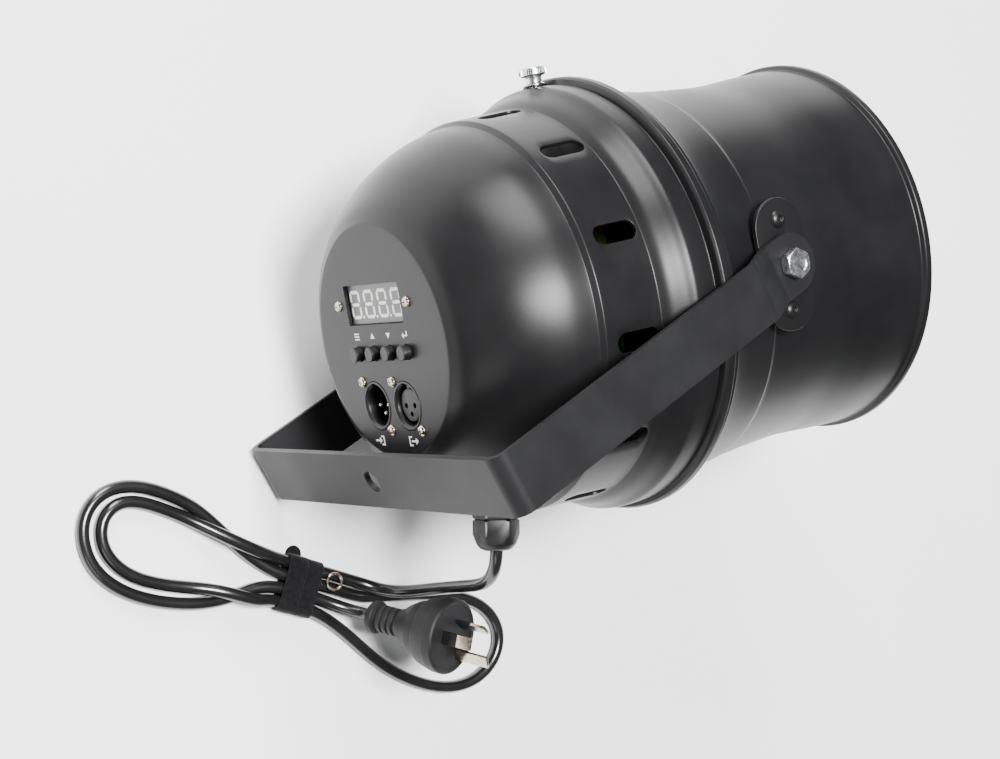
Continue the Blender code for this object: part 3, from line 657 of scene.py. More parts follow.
@dataclass(frozen=True)
class Turned(Finish):
    """Metal with fine turning or drawing lines, and the blotches of its plating."""

    def grain_node(self, tree: bpy.types.NodeTree, place: bpy.types.Node) -> Link:
        """Add waves with noise in them for the tool lines, and return their height output."""
        return add_node(tree, "ShaderNodeTexWave", {"Vector": (place, 0)},
                        {"Scale": MM_PER_M / self.grain_mm / WAVE_TURN, "Distortion": 3.0,
                         "Detail": 2.0},
                        wave_type="BANDS", bands_direction="DIAGONAL"), 0


# Polyester powder coat on steel: satin black with a fine orange peel, about 1.5 mm from crest to
# crest, that breaks the edges of highlights.
COAT = Finish("powder_coat_satin_black", "#0f0f10", "#131314", roughness=0.34, ior=1.3,
              grain_mm=1.5, relief_mm=0.012, uneven=0.03, patch_mm=40)
# The same coat on the flat steel strip of the yoke, sprayed a little drier.
COAT_DRY = Finish("powder_coat_strip_black", "#141415", "#18181a", roughness=0.46, ior=1.28,
                  grain_mm=1.1, relief_mm=0.016, uneven=0.03, patch_mm=30)
# Moulded ABS and nylon: fine spark-eroded grain.
NYLON = Finish("nylon_moulded_black", "#0d0d0d", "#121212", roughness=0.4, ior=1.38,
               grain_mm=0.8, relief_mm=0.008, patch_mm=12)
# Rubbery moulded PVC of the plug: matt, with a coarser spark texture.
PLUG_PVC = Finish("pvc_moulded_plug", "#121213", "#18181a", roughness=0.55, ior=1.34,
                  grain_mm=0.9, relief_mm=0.03, uneven=0.06, patch_mm=9)
# Extruded PVC sheath: glossy, with slow ripples from extrusion.
SHEATH = Finish("pvc_sheath_black", "#101010", "#141414", roughness=0.24, ior=1.53, coat=0.25,
                grain_mm=9.0, relief_mm=0.05, uneven=0.03, patch_mm=20)
# Bright zinc plate: cool light metal with cloudy passivation.
ZINC = Turned("zinc_plated_steel", "#b9bcc0", "#d9dadb", metallic=1.0, roughness=0.28,
              uneven=0.10, grain_mm=0.5, relief_mm=0.004, patch_mm=3)
# Nickel plate on small screws and pins: warmer and yellower than zinc.
NICKEL = Turned("nickel_plated_brass", "#b5a78e", "#cfc5b2", metallic=1.0, roughness=0.24,
                uneven=0.08, grain_mm=0.4, relief_mm=0.003, patch_mm=2.5)
# Milled and drawn aluminium, as on the heat sink and chassis.
ALUMINIUM = Turned("aluminium_drawn", "#9fa2a5", "#b8babd", metallic=1.0, roughness=0.38,
                   uneven=0.08, grain_mm=0.7, relief_mm=0.006, patch_mm=18)
# Grey epoxy face of a seven-segment display, slightly glossy.
DISPLAY_GREY = Finish("display_face_grey", "#4c4c4c", "#545454", roughness=0.35, grain_mm=0.5,
                      relief_mm=0.003, patch_mm=15)
# Milky resin of the unlit segments.
SEGMENT = Finish("segment_resin", "#d6d5cf", "#e6e5e0", roughness=0.3, grain_mm=0.4,
                 relief_mm=0.002, patch_mm=6)
# Screen-printed white ink, thin and slightly uneven.
INK = Finish("screen_ink_white", "#cfd2d4", "#e2e4e5", roughness=0.6, grain_mm=0.25,
             relief_mm=0.006, patch_mm=2)
# Acrylic of the lens plate.
ACRYLIC = Finish("acrylic_clear", "#f0f3f5", "#f8fafb", roughness=0.05, ior=1.49, uneven=0.02,
                 grain_mm=4, relief_mm=0.004, transmission=1.0)
# Solder-masked circuit board.
BOARD = Finish("circuit_board_green", "#12401f", "#1b5a2c", roughness=0.35, grain_mm=1.2,
               relief_mm=0.02, patch_mm=8)
# Yellow polyester tape round a transformer's winding.
WINDING = Finish("winding_tape_yellow", "#a9781d", "#c08d2a", roughness=0.4, grain_mm=1.5,
                 relief_mm=0.02, patch_mm=10)
# White solder mask of the lamp's own board.
WHITE_BOARD = Finish("lamp_board_white", "#d8dad9", "#e6e8e7", roughness=0.4, grain_mm=1.0,
                     relief_mm=0.01, patch_mm=15)
# Yellow phosphor domes of the light sources.
PHOSPHOR = Finish("phosphor_resin", "#d8b53c", "#e3c552", roughness=0.3, ior=1.41,
                  grain_mm=0.5, relief_mm=0.004, patch_mm=3)
# Black loop pile of the tie.
STRAP = Fleece("hook_and_loop_black", "#08080a", "#131315", roughness=0.95, ior=1.2, uneven=0.05,
               grain_mm=0.7, relief_mm=0.22, patch_mm=2.5, sheen=0.08)

CAD_FINISHES = {
    COAT: ("thumb_washer", "retaining_ring"),
    NYLON: ("gland_locknut", "pivot_washer_near", "pivot_washer_far", "capacitor"),
    ZINC: ("pivot_nut_near", "pivot_nut_far", "pillar_1", "pillar_2", "pillar_3", "pillar_4"),
    ALUMINIUM: ("heat_sink", "chassis_plate"),
    DISPLAY_GREY: ("display_module",),
    BOARD: ("control_board", "supply_board"),
    WINDING: ("transformer",),
    WHITE_BOARD: ("led_board",),
}


def dress_cad_nodes() -> None:
    """Give the CAD nodes that stay in sight their finishes."""
    for finish, nodes in CAD_FINISHES.items():
        for node in nodes:
            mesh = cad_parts[node].data
            mesh.materials.clear()
            mesh.materials.append(finish.material())


def place_piece(name: str, mesh: bpy.types.Mesh, place: Matrix, finish: Finish,
                body: str = "head", stands_for: tuple[str, ...] = (), sharp: float = 34.0,
                flat: bool = False) -> bpy.types.Object:
    """Make a finished piece, with its place in its mesh.

    Args:
        name: The piece's name.
        mesh: Its mesh, in millimetres in its own frame.
        place: That frame.
        finish: What it is made of.
        body: The CAD body it moves with.
        stands_for: The CAD nodes it replaces.
        sharp: The angle in degrees above which an edge stays sharp.
        flat: Whether its large flat faces keep their own normals.

    Returns:
        The piece.
    """
    mesh.transform(place @ Matrix.Scale(MM, 4))
    mesh.name = name
    if not mesh.materials or mesh.materials[0] is None:
        mesh.materials.clear()
        mesh.materials.append(finish.material())
    mesh.shade_smooth()
    mesh.set_sharp_from_angle(angle=math.radians(sharp))
    if flat:
        work = held(mesh)
        work.modifiers.new("weighted", "WEIGHTED_NORMAL").keep_sharp = True
        mesh = baked(work)
        mesh.name = name
    piece = held(mesh, name)
    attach(piece, body)
    if stands_for:
        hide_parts(*stands_for)
    LOG.info("%s: %d faces on %s", name, len(mesh.polygons), body)
    return piece


# ----------------------------------------------------------------------------------------------
# Housing
# ----------------------------------------------------------------------------------------------
@dataclass
class RearCap:
    """Spun rear cap: panel with its openings, dome, vented band, sleeve and rolled lip."""

    steps: int = 192
    wall: float = 1.8
    disc_r: float = 53.0
    panel_r: float = 56.5
    slots: int = 12
    first_slot_deg: float = 20.0
    slot_size: tuple[float, float] = (9.5, 23.5)
    slot_y: float = 77.3
    band: tuple[float, float] = (62.0, 90.0)
    display: tuple[float, float, float, float] = (-2.1, 18.2, 50.3, 19.4)
    buttons: tuple[float, ...] = (-22.2, -7.8, 6.8, 21.6)
    button_z: float = -5.3
    button_hole_r: float = 3.9
    sockets: tuple[tuple[float, float], ...] = ((-14.7, -30.9), (12.7, -30.9))
    socket_hole_r: float = 12.1

    @property
    def start(self) -> float:
        """Angle of the shell's first division, on the edge between two vents."""
        return -self.first_slot_deg - 180.0 / self.slots

    def band_r(self, y: float) -> float:
        """The band's outer radius, a cone of 1.5 mm over its length."""
        return 96.5 + 1.5 * (y - 59.5) / 31.3

    def spun(self, path: Loop) -> bmesh.types.BMesh:
        """Spin an open path, lined up with the vents."""
        bm = revolved(path, self.steps, closed=False)
        bm.transform(Matrix.Rotation(math.radians(self.start), 4, "Z"))
        return bm

    def paths(self) -> list[Loop]:
        """The open paths before, beyond and inside the vented band."""
        dome = smooth_through([(56.5, 0), (64.0, 4.0), (72.5, 12.0), (80.7, 22.0), (87.2, 33.5),
                               (91.8, 45.0), (94.4, 57.0)], 6)
        low, high = self.band
        before = filleted([(self.disc_r, 0), (self.panel_r, 0, 6.0), *dome[1:-1],
                           (94.4, 57.0, 1.2), (96.5, 59.5, 1.4), (self.band_r(low), low)], False)
        step = smooth_through([(98.0, 90.8), (101.2, 95.0), (104.3, 102.0), (106.5, 106.2),
                               (106.8, 108.6)], 6)
        beyond = filleted([
            (self.band_r(high), high), (98.0, 90.8, 2.0), *step[1:], (106.8, 116.8, 0.7),
            (105.2, 117.4, 0.5), (105.2, 118.9, 0.6), (108.9, 119.6, 0.8), (110.0, 121.0, 1.0),
            (110.0, 124.6, 1.2), (108.9, 125.8, 0.5), (103.2, 125.8, 0.5), (103.2, 106.4, 3.0),
            (99.6, 97.2, 3.0), (self.band_r(high) - self.wall, high)], False)
        inside = [(self.band_r(low) - self.wall, low), (94.7, 60.6), (92.6, 57.9), (90.0, 45.6),
                  (85.5, 34.4), (79.2, 23.1), (71.2, 13.2), (62.5, 5.3), (55.5, self.wall),
                  (self.disc_r, self.wall)]
        return [before, beyond, inside]

    def vent_rings(self) -> list[Loop]:
        """Matching (angle, y) rings from a vent's sector edge to its rim."""
        span, (low, high) = 180.0 / self.slots, self.band
        across, down = self.steps // self.slots, 10
        width, length = self.slot_size
        half, straight = width / 2, (length - width) / 2
        mm_to_deg = 180.0 / math.pi / self.band_r(self.slot_y)
        outer: Loop = [(span * (2 * i / across - 1), high) for i in range(across)]
        outer += [(span, high + (low - high) * i / down) for i in range(down)]
        outer += [(span * (1 - 2 * i / across), low) for i in range(across)]
        outer += [(-span, low + (high - low) * i / down) for i in range(down)]
        rim: Loop = circle(half, across + 1, (0, straight), 180, -180)[:-1]
        rim += [(half, straight * (1 - 2 * i / down)) for i in range(down)]
        rim += circle(half, across + 1, (0, -straight), 0, -180)[:-1]
        rim += [(-half, straight * (2 * i / down - 1)) for i in range(down)]
        rim = [(x * mm_to_deg, y + self.slot_y) for x, y in rim]
        return [[(a + (c - a) * t, b + (d - b) * t) for (a, b), (c, d) in zip(outer, rim)]
                for t in (0.0, 0.4, 0.75, 1.0)]

    def add_vents(self, bm: bmesh.types.BMesh) -> None:
        """Add the band with its vents, both skins and the vents' walls."""
        rings = self.vent_rings()
        for slot in range(self.slots):
            middle = -self.first_slot_deg - 360.0 / self.slots * slot
            skins = []
            for depth in (0.0, self.wall):
                skin = []
                for ring in rings:
                    skin.append([])
                    for angle, y in ring:
                        r, a = self.band_r(y) - depth, math.radians(middle + angle)
                        skin[-1].append(bm.verts.new((r * math.cos(a), r * math.sin(a), y)))
                skins.append(skin)
            layers = [*zip(skins[0], skins[0][1:]), *zip(skins[1], skins[1][1:]),
                      (skins[0][-1], skins[1][-1])]
            for a, b in layers:
                for i in range(len(a)):
                    j = (i + 1) % len(a)
                    bm.faces.new((a[i], a[j], b[j], b[i]))

    def panel_loops(self) -> list[Loop]:
        """Outline and openings of the flat panel, in the frame on the lamp's axis."""
        x, z, w, h = self.display
        corners = rectangle((x - w / 2, -z - h / 2), (x + w / 2, -z + h / 2), 0.5)
        loops = [circle(self.disc_r, self.steps, start=self.start), filleted(corners)]
        loops += [circle(self.button_hole_r, 32, (bx, -self.button_z)) for bx in self.buttons]
        loops += [circle(self.socket_hole_r, 72, (sx, -sz)) for sx, sz in self.sockets]
        return loops

    def build(self) -> bpy.types.Mesh:
        """Build the cap as one closed shell."""
        bm = bmesh.new()
        panel = shifted(plate(self.panel_loops(), self.wall), z=self.wall / 2)
        bm.from_mesh(panel)
        edge = [f for f in bm.faces
                if abs(f.normal.z) < 0.5
                and all(math.hypot(v.co.x, v.co.y) > self.disc_r - 0.01 for v in f.verts)]
        bmesh.ops.delete(bm, geom=edge, context="FACES")
        for path in self.paths():
            mesh = bpy.data.meshes.new("part")
            spun = self.spun(path)
            spun.to_mesh(mesh)
            spun.free()
            bm.from_mesh(mesh)
        self.add_vents(bm)
        bmesh.ops.remove_doubles(bm, verts=bm.verts, dist=2e-3)
        mesh = mesh_of(bm, "cap")
        return bevelled(mesh, 0.45, 55, 2, within=(65.0, 89.6))

    def dress(self) -> None:
        """Put the cap in place in its coat."""
        place_piece("rear_cap_shell", self.build(), on_axis(), COAT,
                    stands_for=("rear_cap",))


@dataclass
class FrontCan:
    """Front can: neck in the cap, flange, beaded waist and rolled mouth."""

    steps: int = 192
    neck: tuple[float, float] = (102.7, 108.0)

    def build(self) -> bpy.types.Mesh:
        """Build the can as one closed shell."""
        r, y = self.neck
        waist = smooth_through([(97.2, 162.4), (96.3, 172.0), (95.2, 188.0), (94.1, 212.0),
                                (94.6, 226.0), (95.6, 240.0), (96.3, 254.0), (96.5, 261.0)], 5)
        shoulder = smooth_through([(103.0, 131.2), (101.8, 134.2), (100.4, 140.0), (99.0, 149.0),
                                   (97.9, 160.0)], 5)
        outside = [(r, y), (r, 126.1), (107.4, 126.1, 0.9), (107.4, 129.4, 1.1),
                   (104.0, 130.2, 0.8), *shoulder[:-1], (97.9, 160.0, 0.6), (97.35, 161.6, 0.8),
                   *waist[:-1], (96.5, 262.0, 1.2), (98.8, 263.4, 1.6), (98.8, 267.2, 1.8),
                   (96.4, 268.3, 0.8)]
        inside = [(95.2, 268.1, 0.6), (94.9, 262.0), (94.0, 240.0, 20.0), (92.5, 212.0, 20.0),
                  (93.6, 188.0, 20.0), (95.4, 162.0, 20.0), (98.8, 140.0, 10.0),
                  (101.1, 130.4, 3.0), (101.1, y)]
        return turned(filleted(outside + inside), self.steps, "can")

    def dress(self) -> None:
        """Put the can in place in its coat."""
        place_piece("front_can_shell", self.build(), on_axis(), COAT,
                    stands_for=("front_can",))


@dataclass
class Thumbscrew:
    """Knurled screw that holds the can in the cap's sleeve."""

    origin: tuple[float, float, float] = (0.0, 113.0, 106.8)
    head_r: float = 6.8
    tip: float = 9.8
    knurls: int = 40

    def dress(self) -> None:
        """Build the screw with its ring of knurls, and put it in place."""
        r = self.head_r - 0.35
        core = turned(filleted([
            (0, self.tip - 0.5), (3.6, self.tip - 0.5, 0.4), (4.3, self.tip, 0.4),
            (r - 0.5, self.tip, 0.5), (r, self.tip - 0.8, 0.3), (r, 6.3, 0.3),
            (r - 0.6, 5.5, 0.3), (4.2, 5.3, 0.8), (3.9, 2.2, 0.6), (5.2, 1.4, 0.3), (5.2, 1.15),
            (1.9, 1.15), (1.9, -5.2), (0, -5.2)]), 64)
        ridge = shifted(plate([[(-0.3, -0.24), (0.35, 0.0), (-0.3, 0.24)]], 2.7), z=7.65)
        ring = repeated(ridge, ZINC.material(), Layout.RING, self.knurls, r)
        place_piece("thumbscrew_knurled", joined([core, ring]), LAMP @ facing(
            self.origin, (0, 0, 1)), ZINC, "thumbscrew", ("thumbscrew",), 25)


# ----------------------------------------------------------------------------------------------
# Rear panel
# ----------------------------------------------------------------------------------------------
class Sign(Enum):
    """The generic signs printed on the panel."""

    MENU = "menu"
    UP = "up"
    DOWN = "down"
    ENTER = "enter"
    INPUT = "input"
    OUTPUT = "output"


SIGN_LOOPS: dict[Sign, list[Loop]] = {
    Sign.MENU: [rectangle((-2.2, y - 0.32), (2.2, y + 0.32)) for y in (-1.3, 0.0, 1.3)],
    Sign.UP: [[(-1.9, -1.2), (1.9, -1.2), (0.0, 1.5)]],
    Sign.DOWN: [[(-1.9, 1.2), (0.0, -1.5), (1.9, 1.2)]],
    Sign.ENTER: [[(-2.4, -0.5), (-0.9, -1.9), (-0.9, -0.85), (2.3, -0.85), (2.3, 1.6), (1.6, 1.6),
                  (1.6, -0.15), (-0.9, -0.15), (-0.9, 0.9)]],
    Sign.INPUT: [[(-4.4, -0.45), (-0.6, -0.45), (-0.6, -1.6), (1.6, 0.0), (-0.6, 1.6),
                  (-0.6, 0.45), (-4.4, 0.45)],
                 [(1.0, -2.4), (3.8, -2.4), (3.8, 2.4), (1.0, 2.4), (1.0, 1.6), (3.0, 1.6),
                  (3.0, -1.6), (1.0, -1.6)]],
    Sign.OUTPUT: [[(-1.6, -0.45), (2.2, -0.45), (2.2, -1.6), (4.4, 0.0), (2.2, 1.6), (2.2, 0.45),
                   (-1.6, 0.45)],
                  [(-1.0, -2.4), (-3.8, -2.4), (-3.8, 2.4), (-1.0, 2.4), (-1.0, 1.6),
                   (-3.0, 1.6), (-3.0, -1.6), (-1.0, -1.6)]],
}


@dataclass
class Panel:
    """Fittings of the rear panel: display, buttons, screws, sockets and printed signs."""

    cap: RearCap
    display_recess: float = 2.3
    digits: int = 4
    digit_pitch: float = 12.5
    digit_size: tuple[float, float] = (9.0, 13.8)
    stroke: float = 1.6
    button_r: float = 3.5
    button_proud: float = 4.0
    screw_r: float = 2.6
    ink: float = 0.05
    sign_rise: float = 8.3
    pins: tuple[tuple[float, float], ...] = ((-3.8, -0.2), (3.8, -0.2), (0.0, -4.3))

    def digit(self) -> bpy.types.Mesh:
        """One digit: seven segments and a point."""
        w, h, s, gap = self.digit_size[0] / 2, self.digit_size[1] / 2, self.stroke, 0.16
        c = s / 2
        flat = [(-w + c + gap, 0.0), (-w + s + gap, c), (w - s - gap, c), (w - c - gap, 0.0),
                (w - s - gap, -c), (-w + s + gap, -c)]
        side = [(0.0, c + gap), (c, s + gap), (c, h - s - gap), (0.0, h - c - gap),
                (-c, h - s - gap), (-c, s + gap)]
        loops = [[(x, y + at) for x, y in flat] for at in (0.0, h - c, c - h)]
        loops += [[(x + at, y * up) for x, y in side][::up]
                  for at in (w - c, c - w) for up in (1, -1)]
        loops.append(circle(0.75, 12, (w + 1.25, -h + 0.75)))
        return plate(loops, self.ink)

    def dress_display(self) -> None:
        """Lay the row of digits on the display's face."""
        x, z = self.cap.display[:2]
        row = repeated(self.digit(), SEGMENT.material(), Layout.ROW, self.digits,
                       self.digit_pitch)
        start = -self.digit_pitch * (self.digits - 1) / 2 - 0.7
        place_piece("display_digits", shifted(row, start, 0, self.ink / 2 + 0.02),
                    on_panel(x, z, self.display_recess), SEGMENT)

    def dress_buttons(self) -> None:
        """Build the four buttons, each on its own body."""
        r, tip = self.button_r, self.button_proud
        for name, x in zip(("menu", "up", "down", "enter"), self.cap.buttons):
            cap = turned(filleted([(0, tip - 0.15), (1.6, tip - 0.1), (r, tip, 0.55),
                                   (r + 0.05, -3.1), (r + 1.1, -3.1), (r + 1.1, -4.1),
                                   (1.6, -4.1), (1.6, -9.6), (0, -9.6)]), 40)
            place_piece(f"button_{name}_cap", cap, on_panel(x, self.cap.button_z), NYLON,
                        f"button_{name}", (f"button_{name}",))

    def dress_screws(self) -> None:
        """Build one cross-recess screw and repeat it at every panel screw's place."""
        r = self.screw_r
        head = turned(filleted([(0, 1.75), (1.1, 1.7), (2.0, 1.35), (r, 0.55, 0.3), (r, 0.06),
                                (1.1, 0.0), (1.1, -7.0), (0, -7.0)]), 36)
        cross = [shifted(plate([rectangle((-a, -b), (a, b))], 1.6), z=1.7)
                 for a, b in ((1.55, 0.33), (0.33, 1.55))]
        screw = cut(head, cross)
        nodes = [f"panel_screw_{i}" for i in range(1, 7)]
        inverse, points = LAMP.inverted(), []
        for node in nodes:
            low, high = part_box(node)
            middle = inverse @ ((low + high) / 2) / MM
            points.append((middle.x, middle.z))
        place_piece("panel_screws_cross", repeated(screw, NICKEL.material(), Layout.POINTS,
                                                   points=points),
                    on_panel(0, 0), NICKEL, stands_for=tuple(nodes), sharp=30)

    def socket_shell(self) -> bpy.types.Mesh:
        """A socket's round shell, with a key way at the top of its mouth."""
        shell = turned(filleted([
            (0, -22), (11.75, -22), (11.75, 0.3, 0.25), (10.7, 0.3, 0.2), (9.8, -0.9, 0.3),
            (9.6, -1.6), (9.6, -15.0), (0, -15.0)]), 80)
        return cut(shell, [shifted(plate([rectangle((-1.7, 8.6), (1.7, 10.9))], 7.0), z=-2.5)])

    def dress_sockets(self) -> None:
        """Build the data sockets: pins in one, a core with three holes in the other."""
        male, female = (on_panel(*s) for s in self.cap.sockets)
        place_piece("socket_in_shell", self.socket_shell(), male, NYLON,
                    stands_for=("xlr_in_shell", "xlr_in_insert"))
        pin = turned(filleted([(0, -3.4), (0.7, -3.4, 0.4), (1.2, -4.3, 0.4), (1.2, -14.7),
                               (0, -14.7)]), 24)
        place_piece("socket_in_pins", repeated(pin, NICKEL.material(), Layout.POINTS,
                                               points=list(self.pins)),
                    male, NICKEL,
                    stands_for=("xlr_in_pin_1", "xlr_in_pin_2", "xlr_in_pin_3"))
        place_piece("socket_out_shell", self.socket_shell(), female, NYLON,
                    stands_for=("xlr_out_shell",))
        core = turned(filleted([(0, -1.8), (8.0, -1.8, 0.5), (8.0, -14.9), (0, -14.9)]), 64)
        holes = [shifted(turned([(0, 1), (1.35, 1), (1.35, -12), (0, -12)], 24), x, y, -1)
                 for x, y in self.pins]
        rib = shifted(plate([rectangle((-1.3, 7.7), (1.3, 9.5))], 12.0, 0.1), z=-8.2)
        place_piece("socket_out_core", joined([cut(core, holes), rib]), female, NYLON,
                    stands_for=("xlr_out_insert",))

    def dress_signs(self) -> None:
        """Print the signs: one over each button and one under each socket."""
        places = [(x, self.cap.button_z + self.sign_rise) for x in self.cap.buttons]
        places += [(-17.6, -47.8), (12.8, -47.8)]
        meshes = [shifted(plate(SIGN_LOOPS[sign], self.ink), x, z, self.ink / 2 + 0.01)
                  for sign, (x, z) in zip(Sign, places)]
        place_piece("panel_signs", joined(meshes), on_panel(0, 0), INK)

    def dress(self) -> None:
        """Dress everything on the panel."""
        self.dress_display()
        self.dress_buttons()
        self.dress_screws()
        self.dress_sockets()
        self.dress_signs()


# ----------------------------------------------------------------------------------------------
# Light source, behind the lens
# ----------------------------------------------------------------------------------------------
@dataclass
class LightSource:
    """Lens plate with two rings of domes, over the light sources on their board."""

    plate_r: float = 91.6
    back: float = 222.0
    rings: tuple[tuple[float, int, float], ...] = ((31.0, 6, 0.0), (65.0, 12, 15.0))

    def dress(self) -> None:
        """Build the domes and the light sources by rings, and put them in place."""
        clear = ACRYLIC.material()
        sheet = turned(filleted([(0, 0), (self.plate_r, 0, 0.4), (self.plate_r, 2.0, 0.4),
                                 (0, 2.0)]), 128)
        dome = turned(filleted([(0, 6.4), (3.9, 6.0, 4.0), (7.4, 5.0, 6.0), (10.4, 3.2, 4.0),
                                (11.5, 2.02, 0.4), (0, 2.02)]), 32)
        chip = turned(filleted([(0, 2.3), (1.3, 1.9, 1.0), (2.1, 0.7), (2.1, 0.0), (0, 0)]), 16)
        base = plate([rectangle((-3.6, -3.6), (3.6, 3.6))], 1.0, 0.15)
        source = joined([shifted(base, z=0.5), shifted(chip, z=1.0)])
        domes, sources = [sheet], []
        board = LAMP.inverted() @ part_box("led_board")[1] / MM
        for radius, count, first in self.rings:
            domes.append(repeated(dome.copy(), clear, Layout.RING, count, radius, -first))
            sources.append(repeated(source.copy(), PHOSPHOR.material(), Layout.RING, count,
                                    radius, -first))
        place_piece("lens_plate_domed", joined(domes), on_axis(self.back), ACRYLIC,
                    stands_for=("lens_plate",))
        place_piece("light_sources", joined(sources), on_axis(board.y + 0.02), PHOSPHOR)


# ----------------------------------------------------------------------------------------------
# Pivots and yoke
# ----------------------------------------------------------------------------------------------
@dataclass
class Mounting:
    """Side plates with their rivets, pivot bolts, and the yoke bent from flat strip."""

    pivot: tuple[float, float] = (166.0, 2.4)
    plate_in: float = 99.5
    plate_t: float = 2.5
    plate_size: tuple[float, float] = (64.0, 30.0)
    rivet_offset: float = 21.8
    bolt_seat: float = 106.9
    bolt_af: float = 13.0
    bolt_head: float = 5.3
    strip: tuple[float, float] = (29.5, 3.0)
    tab_x: float = 105.1
    arm_x: float = 113.2
    joggle: tuple[float, float] = (11.0, 27.0)
    reach: float = 194.5
    bend_r: float = 6.5
    angle: float = 19.6
    bar_hole_r: float = 5.75
    pivot_hole_r: float = 4.2

    def side_frame(self, side: int, x: float = 0.0) -> Matrix:
        """A frame on the pivot axis, Z out of the lamp's side and X up the lamp."""
        return LAMP @ facing((side * x, *self.pivot), (side, 0, 0), (0, 0, 1))

    def dress_sides(self) -> None:
        """Dress both sides' plates, rivets and bolts."""
        length, width = self.plate_size
        straight = (length - width) / 2
        outline = (circle(width / 2, 33, (straight, 0), -90, 180)
                   + circle(width / 2, 33, (-straight, 0), 90, 180))
        head = turned(filleted([(0, 0.9), (0.9, 0.95, 0.3), (1.7, 1.85, 0.4), (2.6, 1.55, 0.8),
                                (3.5, 1.1, 0.8), (4.35, 0.3, 0.2), (4.4, 0.05), (0, 0.05)]), 36)
        rise, hexagon = self.bolt_head, circle(self.bolt_af / math.sqrt(3), 6)
        for side, label in ((1, "near"), (-1, "far")):
            steel = plate([outline, circle(4.2, 32)], self.plate_t, 0.45)
            place_piece(f"side_plate_{label}_rounded", shifted(steel, z=self.plate_t / 2),
                        self.side_frame(side, self.plate_in), COAT,
                        stands_for=(f"side_plate_{label}",))
            rivets = repeated(head.copy(), COAT.material(), Layout.POINTS,
                              points=[(self.rivet_offset, 0.0), (-self.rivet_offset, 0.0)])
            place_piece(f"rivets_{label}", rivets,
                        self.side_frame(side, self.plate_in + self.plate_t), COAT,
                        stands_for=(f"rivet_{label}_1", f"rivet_{label}_2"))
            blank = turned(filleted([
                (0, rise - 0.4), (4.0, rise - 0.4, 0.3), (4.5, rise, 0.3), (6.35, rise, 0.3),
                (7.6, rise - 0.75), (7.6, 0.35), (6.3, 0.0), (3.9, 0.0), (3.9, -22.0),
                (0, -22.0)]), 72)
            bolt = bevelled(cut(blank, [plate([hexagon], 60.0)], "INTERSECT"), 0.18, 40, 2)
            place_piece(f"pivot_bolt_{label}_hex", bolt, self.side_frame(side, self.bolt_seat),
                        ZINC, stands_for=(f"pivot_bolt_{label}",), sharp=25)

    def yoke_path(self) -> tuple[list[Vector], list[float]]:
        """The strip's middle line, with half its width at each point."""
        half_width = self.strip[0] / 2
        turn = [math.radians(-88 + 88 * i / 14) for i in range(15)]
        tail = [(self.tab_x, half_width * math.sin(t)) for t in turn]
        widths = [half_width * math.cos(t) for t in turn]
        arm = filleted([(self.tab_x, 0.0), (self.tab_x, self.joggle[0], 6.0),
                        (self.arm_x, self.joggle[1], 6.0), (self.arm_x, self.reach, self.bend_r),
                        (0.0, self.reach)], closed=False, steps=8)[1:-1]
        half = [Vector(p) for p in tail + arm]
        widths += [half_width] * len(arm)
        return half + [Vector((-p.x, p.y)) for p in reversed(half)], widths + widths[::-1]

    def dress_yoke(self) -> None:
        """Build the yoke, drill it, and round its edges."""
        strip = swept_strip(*self.yoke_path(), self.strip[1])
        drill = plate([circle(self.bar_hole_r, 64)], 16.0)
        across = plate([circle(self.pivot_hole_r, 40)], 260.0)
        moved(across, Matrix.Rotation(math.radians(90), 4, "Y"))
        yoke = bevelled(cut(strip, [shifted(drill, z=self.reach), across]), 0.5, 55, 3)
        turn = math.radians(self.angle)
        place = LAMP @ facing((0, *self.pivot), (0, -math.cos(turn), -math.sin(turn)))
        place_piece("yoke_strip", yoke, place, COAT_DRY, "yoke", ("yoke",), flat=True)

    def dress(self) -> None:
        """Dress the sides and the yoke."""
        self.dress_sides()
        self.dress_yoke()


# ----------------------------------------------------------------------------------------------
# Gland, lead, plug and tie
# ----------------------------------------------------------------------------------------------
@dataclass
class Gland:
    """Cable gland on the underside of the dome."""

    root: tuple[float, float, float] = (0.0, 46.5, -92.0)
    axis: tuple[float, float, float] = (0.0, -0.19, -0.98)
    across_flats: float = 20.0
    seat: float = 0.8
    flange: float = 5.0
    tip: float = 20.5
    bore_r: float = 3.75

    def dress(self) -> None:
        """Build the hexagonal body and the domed nut, and put them in place."""
        place = LAMP @ facing(self.root, self.axis)
        hexagon = circle(self.across_flats / math.sqrt(3), 6)
        body = turned(filleted([(4.4, -13.0), (7.9, -13.0), (7.9, self.seat),
                                (10.6, self.seat, 0.2), (11.6, 1.5), (11.6, 4.3),
                                (10.6, self.flange, 0.2), (4.4, self.flange)]), 60)
        place_piece("gland_body_hex", bevelled(cut(body, [plate([hexagon], 60.0)], "INTERSECT"),
                                               0.35, 40),
                    place, NYLON, stands_for=("gland_body",))
        nut = turned(filleted([
            (self.bore_r, self.flange + 0.3), (10.6, self.flange + 0.3, 0.2), (11.6, 6.2),
            (11.6, 12.6), (10.9, 14.4, 1.5), (9.7, 17.6, 3.0), (8.0, 19.6, 2.0),
            (6.2, self.tip, 0.8), (4.6, self.tip - 0.1, 0.5), (self.bore_r, self.tip - 1.2)]), 72)
        place_piece("gland_nut_domed", bevelled(cut(nut, [plate([hexagon], 60.0)], "INTERSECT"),
                                                0.45, 38),
                    place, NYLON, stands_for=("gland_nut",))

    def mouth(self) -> tuple[float, float, float]:
        """Where the lead starts inside the nut, in row axes from the lamp's axis."""
        x, y, z = Vector(self.root) + Vector(self.axis).normalized() * (self.tip - 4.0)
        return -z, y, x + LAMP.translation.z / MM


